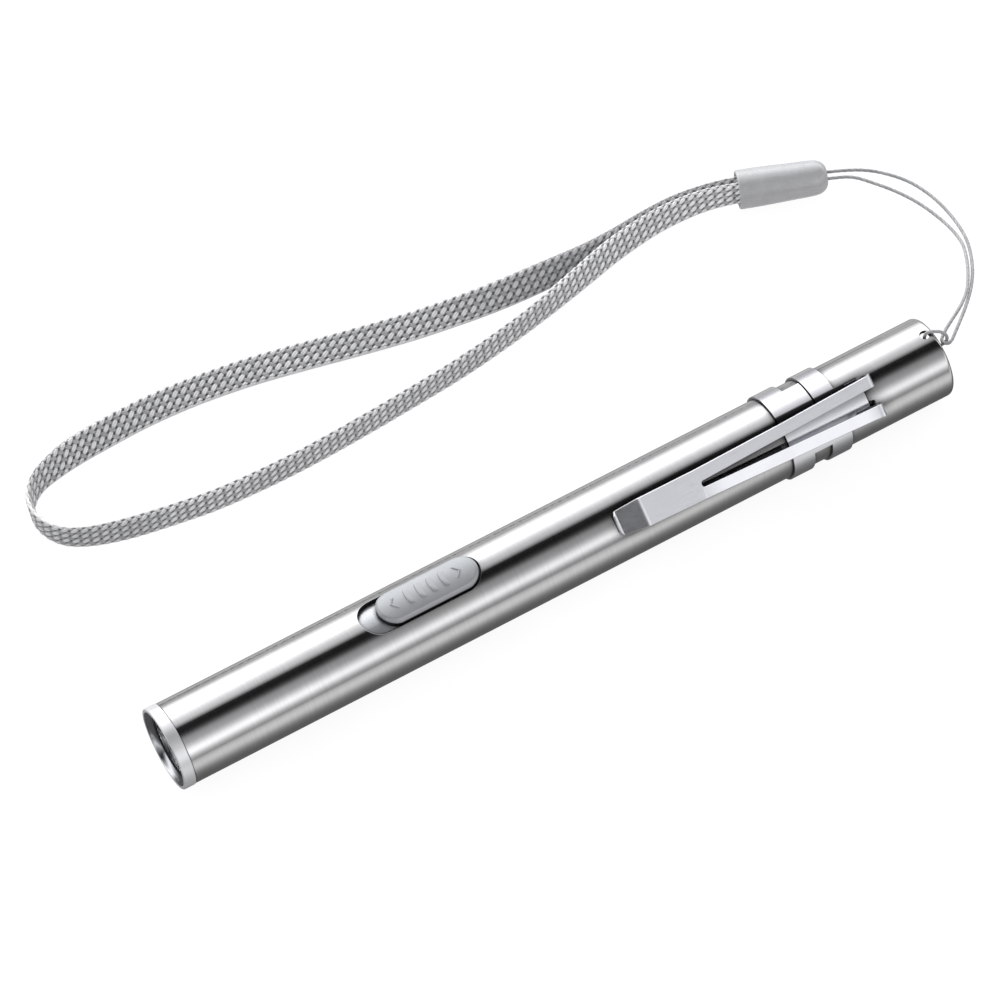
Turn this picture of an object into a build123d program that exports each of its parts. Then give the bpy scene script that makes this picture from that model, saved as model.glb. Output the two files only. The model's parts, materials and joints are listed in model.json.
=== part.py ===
"""Slide-switch pocket exam light: stainless tube, sprung pocket clip, cord and braided wrist strap.

Frame: millimetres. The origin is the centre of the bezel's front rim plane, on the barrel axis.
The barrel runs along +X, from the light head to the tail. +Z points up through the slide switch.
The cord and the wrist strap lie beside the barrel, on the +Y side.

Each piece has a function of its own, and its file takes the function's name.
In names, X0 and X1 are the head and tail ends of a feature, R is a radius and W a width across Y.
"""

from build123d import *
import math
import os

# ---------------------------------------------------------------- driving dimensions
LENGTH = 143.5  # bezel front rim to tail rim
R_TUBE = 7.0
R_BORE = 6.35
THROUGH = 10.0  # depth of cuts from the axis out through the tube wall

BOARD_W = 10.0
BOARD_T = 0.8
GROOVE_H = 0.92  # grooves that hold the circuit boards
CHIP_GAP = 0.02  # clearance between a board and its chip


# ---------------------------------------------------------------- shared shapes
def polar(radius, degrees):
    """Point on a circle round the local origin."""
    angle = math.radians(degrees)
    return (radius * math.cos(angle), radius * math.sin(angle))


def turned(outline):
    """Closed outline of (x, radius) points, revolved about the barrel axis."""
    with BuildPart() as piece:
        with BuildSketch(Plane.XY):
            with BuildLine():
                Polyline(*outline, close=True)
            make_face()
        revolve(axis=Axis.X)
    return piece.part


def prism(plane, outline, depth):
    """Closed outline in a plane, extruded along its normal."""
    with BuildPart() as piece:
        with BuildSketch(plane):
            with BuildLine():
                Polyline(*outline, close=True)
            make_face()
        extrude(amount=depth)
    return piece.part


def ring(x, length, outer, inner):
    """Plain ring round the barrel axis, starting at x."""
    with BuildPart() as piece:
        with BuildSketch(Plane.YZ.offset(x)):
            Circle(outer)
            Circle(inner, mode=Mode.SUBTRACT)
        extrude(amount=length)
    return piece.part


def board(x_centre, length, bottom):
    """Level circuit board across the barrel."""
    with BuildPart() as piece:
        with BuildSketch(Plane.XY.offset(bottom)):
            with Locations((x_centre, 0)):
                Rectangle(length, BOARD_W)
        extrude(amount=BOARD_T)
    return piece.part


def chip(x_centre, length, width, height, bottom):
    """Chip with chamfered top edges."""
    with BuildPart() as piece:
        with BuildSketch(Plane.XY.offset(bottom)):
            with Locations((x_centre, 0)):
                Rectangle(length, width)
        extrude(amount=height)
        chamfer(piece.edges().group_by(Axis.Z)[-1], length=0.25)
    return piece.part


# ---------------------------------------------------------------- head
R_BEZEL = 7.1
BEZEL_LEN = 2.05  # visible side of the bezel
SPIGOT_END = 8.0  # spigot of the bezel, inside the tube
R_SPIGOT = 6.32
R_LENS = 5.7  # window, gasket and reflector rim
R_HEAD_BORE = R_LENS + 0.05
LENS_SEAT_X = 1.0
GASKET_X, GASKET_T, R_GASKET_IN = 1.01, 0.28, 5.2
WINDOW_X, WINDOW_T = 1.30, 1.0
REFLECTOR_X = 2.32
LED_BOARD_X, LED_BOARD_T, R_LED_BOARD = 8.64, 1.0, 5.6
LED_HOLE = 3.9  # from the axis to each board hole and lead wire start
LED_HOLE_R = 0.55
LEAD_X0, LEAD_X1 = 9.7, 20.6
LEAD_R = 0.42


def bezel_ring():
    return turned([
        (0.0, 6.25), (0.0, 6.92), (0.18, R_BEZEL), (BEZEL_LEN - 0.12, R_BEZEL),
        (BEZEL_LEN, 6.98), (BEZEL_LEN, R_SPIGOT), (SPIGOT_END, R_SPIGOT),
        (SPIGOT_END, R_HEAD_BORE), (LENS_SEAT_X, R_HEAD_BORE), (LENS_SEAT_X, 5.5), (0.85, 5.5),
    ])


def lens_gasket():
    return ring(GASKET_X, GASKET_T, R_LENS, R_GASKET_IN)


def lens_window():
    with BuildPart() as piece:
        with BuildSketch(Plane.YZ.offset(WINDOW_X)):
            Circle(R_LENS)
        extrude(amount=WINDOW_T)
        chamfer(piece.edges().filter_by(GeomType.CIRCLE), length=0.12)
    return piece.part


def reflector():
    rim, throat = (REFLECTOR_X, 5.25), (8.1, 1.35)
    with BuildPart() as piece:
        with BuildSketch(Plane.XY):
            with BuildLine():
                # outside, (x, radius)
                Polyline(
                    rim, (REFLECTOR_X, R_LENS), (3.1, R_LENS), (3.3, 5.2),
                    (7.6, 3.3), (8.1, 3.3), throat,
                )
                # bowl
                Spline(throat, (6.6, 2.75), (4.6, 4.05), rim)
            make_face()
        revolve(axis=Axis.X)
    return piece.part


def led_emitter():
    dome_top, dome_foot = (6.97, 0.3), (8.05, 1.1)  # (x, radius)
    base_x, base_r = 8.62, 1.25
    with BuildPart() as piece:
        with BuildSketch(Plane.XY):
            with BuildLine():
                Polyline(
                    dome_top, (dome_top[0], 0), (base_x, 0), (base_x, base_r),
                    (dome_foot[0], base_r), dome_foot,
                )
                ThreePointArc(dome_foot, (7.3, 0.85), dome_top)
            make_face()
        revolve(axis=Axis.X)
    return piece.part


def led_board():
    with BuildPart() as piece:
        with BuildSketch(Plane.YZ.offset(LED_BOARD_X)):
            Circle(R_LED_BOARD)
            with Locations((0, LED_HOLE), (0, -LED_HOLE)):
                Circle(LED_HOLE_R, mode=Mode.SUBTRACT)
        extrude(amount=LED_BOARD_T)
    return piece.part


def pill_holder():
    x0, x1 = 8.15, 16.2
    seat_x = LED_BOARD_X + LED_BOARD_T + 0.02
    r_outer, r_pocket = 6.3, 5.65
    return turned([
        (x0, r_pocket), (x0, r_outer), (x1, r_outer), (x1, 4.9), (15.0, 4.9), (15.0, 5.3),
        (10.6, 5.3), (10.6, 5.0), (seat_x, 5.0), (seat_x, r_pocket),
    ])


def lead_wire(points):
    """Wire through (x, y, z) points that leaves and arrives along +X."""
    with BuildPart() as piece:
        with BuildLine() as path:
            Spline(*points, tangents=((1, 0, 0), (1, 0, 0)))
        with BuildSketch(Plane(origin=points[0], z_dir=(1, 0, 0))):
            Circle(LEAD_R)
        sweep(path=path.wires()[0])
    return piece.part


def lead_wire_red():
    return lead_wire([
        (LEAD_X0, 0, LED_HOLE), (13.5, 0.6, 3.6), (17.0, 1.2, 1.9), (LEAD_X1, 1.6, 0.92),
    ])


def lead_wire_black():
    return lead_wire([
        (LEAD_X0, 0, -LED_HOLE), (12.2, -1.0, -2.8), (14.8, -1.6, -0.1), (17.2, -1.7, 1.05),
        (LEAD_X1, -1.6, 0.92),
    ])


# ---------------------------------------------------------------- switch module
CARRIER_X0, CARRIER_LEN, R_CARRIER = 16.4, 45.6, 6.25
GROOVE_X0, GROOVE_LEN = 18.0, 42.8
CHAMBER_W = 8.0  # rooms above and below the board
DRIVER_BOTTOM = -BOARD_T / 2
DRIVER_TOP = BOARD_T / 2

BUTTON_LEN, BUTTON_W = 18.0, 6.1
BUTTON_X1 = 57.25  # tail end of the button in the off position
BUTTON_X = BUTTON_X1 - BUTTON_LEN / 2  # button centre
BUTTON_FOOT = 5.2  # height where the button's blank starts
TRAVEL = 2.9  # slide travel toward the head
R_BUTTON = 7.78  # crown of the button
TRIM = 12.0  # half length of the cylinders that trim the button
RIDGE_X = (44.5, 46.6, 48.7, 50.85)
STEM_LEN, STEM_W = 8.0, 2.0

BED_X0, BED_X1 = 33.0, 60.5
R_BED_OUT, R_BED_IN = 6.25, 5.4
BED_HALF_W = 3.93
BED_BOTTOM = 3.6

CONTACT_W = 3.2
# tail half of the moving contact: (distance from button centre, z)
CONTACT_HALF = [
    (3.6, 1.88), (3.6, 1.74), (2.0, 1.74), (3.1, 0.86),
    (3.8, 1.25), (3.9, 1.13), (3.1, 0.62), (1.5, 1.74),
]
# detent spring in plan: (x, y), outer side of both hooks, then back along the strip
DETENT_OUTLINE = [
    (40.2, 3.9), (40.2, 3.3), (40.4, 3.3), (40.4, 3.66), (44.4, 2.86), (45.4, 2.66), (46.4, 2.86),
    (51.4, 2.86), (52.4, 2.66), (53.4, 2.86), (57.2, 3.66), (57.2, 3.3), (57.4, 3.3), (57.4, 3.9),
    (53.4, 3.04), (52.4, 2.84), (51.4, 3.04), (46.4, 3.04), (45.4, 2.84), (44.4, 3.04),
]


def switch_carrier():
    with BuildPart() as piece:
        with BuildSketch(Plane.YZ.offset(CARRIER_X0)):
            Circle(R_CARRIER)
        extrude(amount=CARRIER_LEN)
        # wire entry
        with BuildSketch(Plane.YZ.offset(CARRIER_X0 - 0.1)):
            with Locations((0, 1.1)):
                SlotOverall(7.4, 4.6)
        extrude(amount=2.2, mode=Mode.SUBTRACT)
        # room above the board
        with BuildSketch(Plane.YZ.offset(GROOVE_X0)):
            with Locations((0, 4.0)):
                Rectangle(CHAMBER_W, 7.1)
        extrude(amount=GROOVE_LEN, mode=Mode.SUBTRACT)
        # board groove
        with BuildSketch(Plane.YZ.offset(GROOVE_X0)):
            Rectangle(BOARD_W + 0.2, GROOVE_H)
        extrude(amount=GROOVE_LEN, mode=Mode.SUBTRACT)
        # room under the board
        with BuildSketch(Plane.YZ.offset(GROOVE_X0 + 1.5)):
            with Locations((0, -2.3)):
                RectangleRounded(CHAMBER_W, 4.0, 0.8)
        extrude(amount=40.0, mode=Mode.SUBTRACT)
    return piece.part


def driver_board():
    return board(GROOVE_X0 + GROOVE_LEN / 2, length=GROOVE_LEN - 0.4, bottom=DRIVER_BOTTOM)


def driver_chip():
    return chip(27.0, length=5.0, width=4.0, height=1.2, bottom=DRIVER_TOP + CHIP_GAP)


def fixed_contacts():
    with BuildPart() as piece:
        with BuildSketch(Plane.XY.offset(DRIVER_TOP + 0.01)):
            with Locations((43.2, 0), (48.0, 0), (52.9, 0)):
                RectangleRounded(3.4, 4.2, 0.4)
        extrude(amount=0.17)
    return piece.part


def slot_bed():
    """Curved strip under the tube's slot, with a slot for the button's stem."""
    cut_w, cut_h = 12.0, 13.2
    side_y = BED_HALF_W + cut_w / 2
    with BuildPart() as piece:
        with BuildSketch(Plane.YZ.offset(BED_X0)):
            Circle(R_BED_OUT)
            Circle(R_BED_IN, mode=Mode.SUBTRACT)
            with Locations((0, BED_BOTTOM - cut_h / 2)):
                Rectangle(20, cut_h, mode=Mode.SUBTRACT)
            with Locations((-side_y, 0), (side_y, 0)):
                Rectangle(cut_w, 20, mode=Mode.SUBTRACT)
        extrude(amount=BED_X1 - BED_X0)
        with BuildSketch(Plane(origin=(BUTTON_X - TRAVEL / 2, 0, 4))):
            SlotOverall(STEM_LEN + TRAVEL + 0.3, STEM_W + 0.16)
        extrude(amount=5, mode=Mode.SUBTRACT)
    return piece.part


def slide_button():
    with BuildPart() as piece:
        with BuildSketch(Plane(origin=(BUTTON_X, 0, BUTTON_FOOT))):
            SlotOverall(BUTTON_LEN, BUTTON_W)
        extrude(amount=4)
        # round the crown, then hollow the foot to ride on the bed
        with BuildSketch(Plane.YZ.offset(BUTTON_X - TRIM)):
            Circle(R_BUTTON)
        extrude(amount=2 * TRIM, mode=Mode.INTERSECT)
        fillet(piece.edges().filter_by(lambda edge: edge.center().Z > 6.9), radius=0.55)
        with BuildSketch(Plane.YZ.offset(BUTTON_X - TRIM)):
            Circle(R_BED_OUT + 0.05)
        extrude(amount=2 * TRIM, mode=Mode.SUBTRACT)
        # finger ridges
        for ridge_x in RIDGE_X:
            with BuildSketch(Plane(origin=(ridge_x, 0, 7.3), x_dir=(0, 1, 0), z_dir=(0, 0, 1))):
                SlotOverall(2.9, 0.62)
            extrude(amount=0.66)
        # stem
        with BuildSketch(Plane(origin=(BUTTON_X, 0, 3.4))):
            SlotOverall(STEM_LEN, STEM_W)
        extrude(amount=3.2)
    return piece.part


def slider_shoe():
    """Block round the foot of the button's stem."""
    with BuildPart() as piece:
        with BuildSketch(Plane(origin=(BUTTON_X, 0, 1.9))):
            RectangleRounded(10.4, 5.0, 0.6)
        extrude(amount=2.75)
        with BuildSketch(Plane(origin=(BUTTON_X, 0, 3.35))):
            SlotOverall(STEM_LEN + 0.08, STEM_W + 0.08)
        extrude(amount=3, mode=Mode.SUBTRACT)
    return piece.part


def moving_contact():
    outline = [(BUTTON_X + x, z) for x, z in CONTACT_HALF]
    outline += [(BUTTON_X - x, z) for x, z in reversed(CONTACT_HALF)]
    return prism(Plane.XZ.offset(-CONTACT_W / 2), outline, CONTACT_W)


def detent_spring():
    return prism(Plane.XY.offset(2.3), DETENT_OUTLINE, 1.4)


# ---------------------------------------------------------------- cell and its contacts
PLATE_T = 0.4
FRONT_PLATE_X, REAR_PLATE_X = 62.04, 113.6
CELL_X0, CELL_X1, R_CELL = 62.78, 106.78, 5.0
CELL_SLEEVE_X, CELL_SLEEVE_LEN = 62.6, 50.6
SPRING_X, SPRING_LEN, SPRING_PITCH = 107.2, 5.9, 1.35
SPRING_R, SPRING_WIRE_R = 3.1, 0.32


def front_contact_plate():
    with BuildPart() as piece:
        with BuildSketch(Plane.YZ.offset(FRONT_PLATE_X)):
            Circle(4.9)
        extrude(amount=PLATE_T)
        # boss facing the cell
        with BuildSketch(Plane.YZ.offset(FRONT_PLATE_X + PLATE_T)):
            Circle(1.1)
        extrude(amount=0.3)
    return piece.part


def battery_cell():
    return turned([
        (CELL_X0, 0), (CELL_X0, 1.8), (63.7, 1.9), (63.7, 3.9), (63.95, 4.6), (64.3, R_CELL),
        (106.5, R_CELL), (CELL_X1, 4.7), (CELL_X1, 0),
    ])


def battery_sleeve():
    return ring(CELL_SLEEVE_X, CELL_SLEEVE_LEN, 6.2, R_CELL + 0.15)


def cell_spring():
    with BuildPart() as piece:
        with BuildLine() as path:
            Helix(
                pitch=SPRING_PITCH, height=SPRING_LEN, radius=SPRING_R,
                center=(SPRING_X, 0, 0), direction=(1, 0, 0),
            )
        with BuildSketch(Plane(origin=path.line @ 0, z_dir=path.line % 0)):
            Circle(SPRING_WIRE_R)
        sweep(path=path.wires()[0], is_frenet=True)
    return piece.part


def rear_contact_plate():
    with BuildPart() as piece:
        with BuildSketch(Plane.YZ.offset(REAR_PLATE_X)):
            Circle(5.9)
        extrude(amount=PLATE_T)
    return piece.part


# ---------------------------------------------------------------- tail
CHARGE_BOTTOM = -2.1
CHARGE_CHIP_BOTTOM = CHARGE_BOTTOM + BOARD_T + CHIP_GAP
INSERT_X0, INSERT_LEN, R_INSERT = 128.0, 12.0, 6.3
USB_X0, USB_LEN = 134.9, 5.0
# receptacle section: (y, z)
USB_OUTSIDE = [(-3.7, 1.32), (3.7, 1.32), (3.7, -0.2), (2.7, -1.28), (-2.7, -1.28), (-3.7, -0.2)]
USB_INSIDE = [
    (-3.42, 1.04), (3.42, 1.04), (3.42, -0.1), (2.58, -1.0), (-2.58, -1.0), (-3.42, -0.1),
]


def charge_board():
    return board(126.55, length=24.9, bottom=CHARGE_BOTTOM)


def charge_chip():
    return chip(119.5, length=4.9, width=3.9, height=1.3, bottom=CHARGE_CHIP_BOTTOM)


def usb_receptacle():
    with BuildPart() as piece:
        with BuildSketch(Plane.YZ.offset(USB_X0)):
            with BuildLine():
                Polyline(*USB_OUTSIDE, close=True)
            make_face()
        extrude(amount=USB_LEN)
        with BuildSketch(Plane.YZ.offset(USB_X0 + 0.5)):
            with BuildLine():
                Polyline(*USB_INSIDE, close=True)
            make_face()
        extrude(amount=USB_LEN, mode=Mode.SUBTRACT)
        # tongue
        with BuildSketch(Plane.YZ.offset(USB_X0 + 0.4)):
            with Locations((0, 0.42)):
                Rectangle(4.2, 0.6)
        extrude(amount=3.9)
    return piece.part


def tail_insert():
    with BuildPart() as piece:
        with BuildSketch(Plane.YZ.offset(INSERT_X0)):
            Circle(R_INSERT)
        extrude(amount=INSERT_LEN)
        chamfer(piece.edges().filter_by(GeomType.CIRCLE).group_by(Axis.X)[-1], length=0.35)
        # board pocket
        with BuildSketch(Plane.YZ.offset(INSERT_X0 - 1)):
            with Locations((0, CHARGE_BOTTOM + BOARD_T / 2)):
                Rectangle(BOARD_W + 0.15, GROOVE_H)
        extrude(amount=12.05, mode=Mode.SUBTRACT)
        # port pocket, open to the tail
        with BuildSketch(Plane.YZ.offset(INSERT_X0 - 1)):
            with Locations((0, 0.05)):
                RectangleRounded(7.7, 2.85, 0.5)
        extrude(amount=INSERT_LEN + 2, mode=Mode.SUBTRACT)
    return piece.part


# ---------------------------------------------------------------- main tube
TUBE_X0 = BEZEL_LEN + 0.02
LIP_R = 5.5  # opening of the rolled tail rim
ROLL_X = LENGTH - 0.75  # where the tail rim starts to roll in
SLOT_X0, SLOT_X1, SLOT_W = 36.0, 57.6, 6.7  # switch slot
HOLE_X, HOLE_R = 141.9, 0.9  # lanyard hole


def barrel_tube():
    rim = (LENGTH, 6.25)
    with BuildPart() as piece:
        with BuildSketch(Plane.XY):
            with BuildLine():
                Polyline(
                    (ROLL_X, R_TUBE), (TUBE_X0, R_TUBE), (TUBE_X0, R_BORE),
                    (LENGTH - 1.2, R_BORE), (ROLL_X, 5.95), (LENGTH - 0.65, LIP_R),
                    (LENGTH, LIP_R), rim,
                )
                ThreePointArc(rim, (LENGTH - 0.22, R_TUBE - 0.22), (ROLL_X, R_TUBE))
            make_face()
        revolve(axis=Axis.X)
        with BuildSketch(Plane(origin=((SLOT_X0 + SLOT_X1) / 2, 0, 0))):
            SlotOverall(SLOT_X1 - SLOT_X0, SLOT_W)
        extrude(amount=THROUGH, mode=Mode.SUBTRACT)
        with BuildSketch(Plane(origin=(HOLE_X, 0, 0))):
            Circle(HOLE_R)
        extrude(amount=THROUGH, mode=Mode.SUBTRACT)
    return piece.part


# ---------------------------------------------------------------- pocket clip
CLIP_ANGLE = 41.0  # clip centre line, degrees from +Z toward -Y
CLIP_POLAR = 90 + CLIP_ANGLE  # the same line, in degrees from +Y toward +Z
SHEET = 0.45  # sheet thickness
HALF_SHEET = SHEET / 2
R_BAND = 7.03  # band inner radius
R_BAND_OUT = R_BAND + SHEET
BAND1_X0, BAND1_X1 = 112.3, 116.2
BAND2_X0, BAND2_X1 = 119.6, 123.4
SLIT = 0.32  # between the tab and the second band
BEND_X, BEND_R = 128.2, 0.95  # return bend: centre and sheet centre-line radius
BEND_END = 83  # degrees: the bend stops short of the arm
LEG_IN, LEG_OUT = 1.55, 3.65  # sides of each bend leg, from the centre line
LEG_START_X = BEND_X - 3.2
TIP_X = 80.6
CREST = 8.62  # sheet centre height where the arm turns down to the tip

# heights above the barrel axis
H_BASE = R_BAND + HALF_SHEET  # sheet centre at the base
H_BEND = H_BASE + BEND_R  # centre of the return bend
H_ARM = H_BASE + 2 * BEND_R  # arm sheet centre at the bend

COS_CLIP = math.cos(math.radians(CLIP_ANGLE))
SIN_CLIP = math.sin(math.radians(CLIP_ANGLE))
CLIP_UP = (0, -SIN_CLIP, COS_CLIP)  # radially out through the middle of the clip
CLIP_SIDE = (0, COS_CLIP, SIN_CLIP)  # across the clip, toward the switch
# seen from above the clip, 5 mm from the axis: local x along the barrel, local y across the clip
CLIP_PLAN = Plane(origin=(0, -SIN_CLIP * 5, COS_CLIP * 5), x_dir=(1, 0, 0), z_dir=CLIP_UP)

# arm side profile: (x, height)
ARM_PROFILE = [
    (TIP_X, 7.86), (TIP_X + 1.5, 7.55), (85.1, CREST + HALF_SHEET), (BEND_X, H_ARM + HALF_SHEET),
    (BEND_X, H_ARM - HALF_SHEET), (85.2, CREST - HALF_SHEET), (TIP_X + 1.5, 7.10),
    (TIP_X - 0.1, 7.42),
]
# arm plan outline: (x, distance across the clip)
ARM_PLAN = [
    (TIP_X - 0.5, 2.05), (TIP_X + 1.2, 2.7), (84.9, 2.8), (95.5, 2.75), (111.5, 3.05),
    (BEND_X + 1, 3.65), (BEND_X + 1, -3.65), (111.5, -3.05), (95.5, -2.4), (84.9, -2.15),
    (TIP_X + 1.2, -2.05), (TIP_X - 0.5, -1.55),
]


def clip_side_plane(across):
    """Plane of the side profile: local x along the barrel, local y radially outward."""
    return Plane(
        origin=(0, COS_CLIP * across, SIN_CLIP * across),
        x_dir=(1, 0, 0), z_dir=(0, -COS_CLIP, -SIN_CLIP),
    )


def on_bend(radius, degrees):
    """Point of the return bend in a side plane."""
    x, height = polar(radius, degrees)
    return (BEND_X + x, H_BEND + height)


def clip_base():
    with BuildPart() as piece:
        with BuildSketch(Plane.YZ.offset(BAND1_X0)):
            Circle(R_BAND_OUT)
            Circle(R_BAND, mode=Mode.SUBTRACT)
        extrude(amount=BAND2_X1 - BAND1_X0)
        # opening of each band on the side away from the arm
        with BuildSketch(Plane(origin=(BAND1_X0 - 1, 0, 0), x_dir=CLIP_SIDE, z_dir=(1, 0, 0))):
            with Locations((0, -7.2)):
                Rectangle(1.6, 3.0)
        extrude(amount=BAND2_X1 - BAND1_X0 + 2, mode=Mode.SUBTRACT)
        # window between the bands: all but the tab by the switch side and the saddle
        with BuildSketch(Plane.YZ.offset(BAND1_X1)):
            with BuildLine():
                Polyline(
                    (0, 0), polar(12, 90 - 22), (12, 0), (12, -12), (-12, -12),
                    (-12, polar(12, CLIP_POLAR + 36)[1]), close=True,
                )
            make_face()
        extrude(amount=BAND2_X0 - BAND1_X1, mode=Mode.SUBTRACT)
        # slit between the tab and the second band
        with BuildSketch(Plane.YZ.offset(BAND2_X0 - SLIT)):
            with BuildLine():
                Polyline((0, 0), polar(12, 90 - 30), (0, 12), polar(12, 90 + 16), close=True)
            make_face()
        extrude(amount=SLIT, mode=Mode.SUBTRACT)
        # saddle tongue running on toward the return bend
        with BuildSketch(Plane.YZ.offset(BAND2_X1 - 0.2)):
            Circle(R_BAND_OUT)
            Circle(R_BAND, mode=Mode.SUBTRACT)
            with BuildLine():
                Polyline(
                    (0, 0), polar(14, CLIP_POLAR - 31), polar(20, CLIP_POLAR),
                    polar(14, CLIP_POLAR + 31), close=True,
                )
            make_face(mode=Mode.INTERSECT)
        extrude(amount=BEND_X - BAND2_X1 - 0.4)
        # return bend, two legs
        outer, inner = BEND_R + HALF_SHEET, BEND_R - HALF_SHEET
        top, bottom = H_BASE + HALF_SHEET, H_BASE - HALF_SHEET
        inner_end, outer_end = on_bend(inner, BEND_END), on_bend(outer, BEND_END)
        for across in (LEG_IN, -LEG_OUT):
            with BuildSketch(clip_side_plane(across)):
                with BuildLine():
                    Line((LEG_START_X, top), (BEND_X, top))
                    ThreePointArc((BEND_X, top), (BEND_X + inner, H_BEND), inner_end)
                    Line(inner_end, outer_end)
                    ThreePointArc(outer_end, (BEND_X + outer, H_BEND), (BEND_X, bottom))
                    Line((BEND_X, bottom), (LEG_START_X, bottom))
                    Line((LEG_START_X, bottom), (LEG_START_X, top))
                make_face()
            extrude(amount=LEG_IN - LEG_OUT)
    return piece.part


def clip_arm():
    """Side profile, trimmed to the plan outline and slotted from the bend."""
    slot_end_x, slot_tip_x, slot_half_w = 96.15, 95.68, 0.48
    wide_x, wide_half_w = BEND_X + 2, 1.6
    with BuildPart() as piece:
        with BuildSketch(clip_side_plane(-5.0)):
            with BuildLine():
                Polyline(*ARM_PROFILE, close=True)
            make_face()
        extrude(amount=-10)
        with BuildSketch(CLIP_PLAN):
            with BuildLine():
                Polyline(*ARM_PLAN, close=True)
            make_face()
        extrude(amount=8, mode=Mode.INTERSECT)
        with BuildSketch(CLIP_PLAN):
            with BuildLine():
                Line((wide_x, wide_half_w), (slot_end_x, slot_half_w))
                ThreePointArc(
                    (slot_end_x, slot_half_w), (slot_tip_x, 0), (slot_end_x, -slot_half_w)
                )
                Line((slot_end_x, -slot_half_w), (wide_x, -wide_half_w))
                Line((wide_x, -wide_half_w), (wide_x, wide_half_w))
            make_face()
        extrude(amount=8, mode=Mode.SUBTRACT)
    return piece.part


# ---------------------------------------------------------------- cord
PIVOT_X, PIVOT_Y = 145.2, -1.5  # where the cord loop hangs in the hitch
CORD_R = 0.3
TURN_R = 0.8  # turn of the loop round the hitch
STRAND_X, STRAND_Y = 0.80, 0.60  # direction in which the strands leave the hitch

SLEEVE_MOUTH = (136.2, 49.0)  # strap side
SLEEVE_NOSE = (150.6, 43.5)  # cord side
SLEEVE_Z = -4.0
SLEEVE_LEN = math.dist(SLEEVE_MOUTH, SLEEVE_NOSE)
SLEEVE_DIR_X = (SLEEVE_NOSE[0] - SLEEVE_MOUTH[0]) / SLEEVE_LEN
SLEEVE_DIR_Y = (SLEEVE_NOSE[1] - SLEEVE_MOUTH[1]) / SLEEVE_LEN
SLEEVE_DIR = (SLEEVE_DIR_X, SLEEVE_DIR_Y, 0)
SLEEVE_ACROSS = (-SLEEVE_DIR_Y, SLEEVE_DIR_X, 0)  # to the side away from the barrel

HITCH_PATH = [  # (x, y, z)
    (142.05, -0.25, 4.75), (141.82, -0.05, 5.6), (141.88, 0.0, 6.7), (142.3, -0.1, 7.42),
    (143.3, -0.5, 7.5), (144.4, -1.05, 7.15), (PIVOT_X, PIVOT_Y, 6.0), (PIVOT_X, PIVOT_Y, 4.8),
    (144.5, -1.2, 3.8), (143.4, -0.85, 3.7), (142.75, -0.62, 4.05),
]


def sleeve_point(along, across):
    """Point from the sleeve mouth's centre, at the sleeve's height."""
    return (
        SLEEVE_MOUTH[0] + SLEEVE_DIR_X * along - SLEEVE_DIR_Y * across,
        SLEEVE_MOUTH[1] + SLEEVE_DIR_Y * along + SLEEVE_DIR_X * across,
        SLEEVE_Z,
    )


def hitch_point(along, across, z):
    """Point from the pivot, along and across the leaving strands."""
    return (
        PIVOT_X + STRAND_X * along - STRAND_Y * across,
        PIVOT_Y + STRAND_Y * along + STRAND_X * across,
        z,
    )


# cord loop: (x, y, z) from the sleeve to the hitch, round it and back
OUTER_STRAND = [
    sleeve_point(9.0, 0.62), sleeve_point(SLEEVE_LEN + 0.5, 0.75),
    (156.3, 41.7, -3.9), (159.6, 38.6, -3.7), (161.6, 35.4, -3.3), (162.9, 31.4, -2.7),
    (163.2, 26.6, -1.8), (162.6, 21.6, -0.6), (161.4, 17.6, 0.4), (159.9, 14.2, 1.3),
    (157.6, 10.2, 2.4), (154.6, 6.3, 3.4),
    hitch_point(8.0, -0.55, 4.2), hitch_point(4.6, -0.75, 4.75), hitch_point(2.0, -TURN_R, 4.95),
]
TURN = [hitch_point(*polar(TURN_R, degrees), 5.0) for degrees in (-90, -135, 180, 135, 90)]
INNER_STRAND = [
    hitch_point(2.0, TURN_R, 4.95), hitch_point(4.6, 0.7, 4.75), hitch_point(8.0, 0.6, 4.1),
    (152.9, 6.2, 3.4), (155.9, 10.0, 2.4), (158.2, 13.9, 1.3), (159.6, 17.6, 0.3),
    (160.5, 21.6, -0.6), (160.7, 26.0, -1.8), (159.8, 30.2, -2.6), (158.4, 33.7, -3.1),
    (156.6, 36.7, -3.5), (154.6, 39.6, -3.8),
    sleeve_point(SLEEVE_LEN + 0.5, -0.75), sleeve_point(9.0, -0.62),
]


def cord(points):
    """Round cord along a spline."""
    with BuildPart() as piece:
        with BuildLine() as path:
            Spline(*points)
        with BuildSketch(Plane(origin=path.line @ 0, z_dir=path.line % 0)):
            Circle(CORD_R)
        sweep(path=path.wires()[0])
    return piece.part


def cord_hitch():
    return cord(HITCH_PATH)


def cord_loop():
    return cord(OUTER_STRAND + TURN + INNER_STRAND)


def strap_sleeve():
    """Hollow sleeve turned about its own axis; profile points are (along, radius)."""
    mouth = (*SLEEVE_MOUTH, SLEEVE_Z)
    r_bore, r_outer, r_nose = 2.8, 3.25, 1.32
    shoulder, nose = (SLEEVE_LEN - 1.8, 2.85), (SLEEVE_LEN, 1.5)
    with BuildPart() as piece:
        with BuildSketch(Plane(origin=mouth, x_dir=SLEEVE_DIR, z_dir=(0, 0, 1))):
            with BuildLine():
                Polyline((0, r_bore), (0, 3.12), (0.15, r_outer), (4.0, r_outer), shoulder)
                Spline(
                    shoulder, (SLEEVE_LEN - 0.45, 2.35), nose, tangents=((1, -0.04), (0, -1))
                )
                Polyline(
                    nose, (SLEEVE_LEN, r_nose), (SLEEVE_LEN - 1.0, r_nose),
                    (SLEEVE_LEN - 1.4, 2.1), (SLEEVE_LEN - 5.0, r_bore), (0, r_bore),
                )
            make_face()
        revolve(axis=Axis(origin=mouth, direction=SLEEVE_DIR))
    return piece.part


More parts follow.
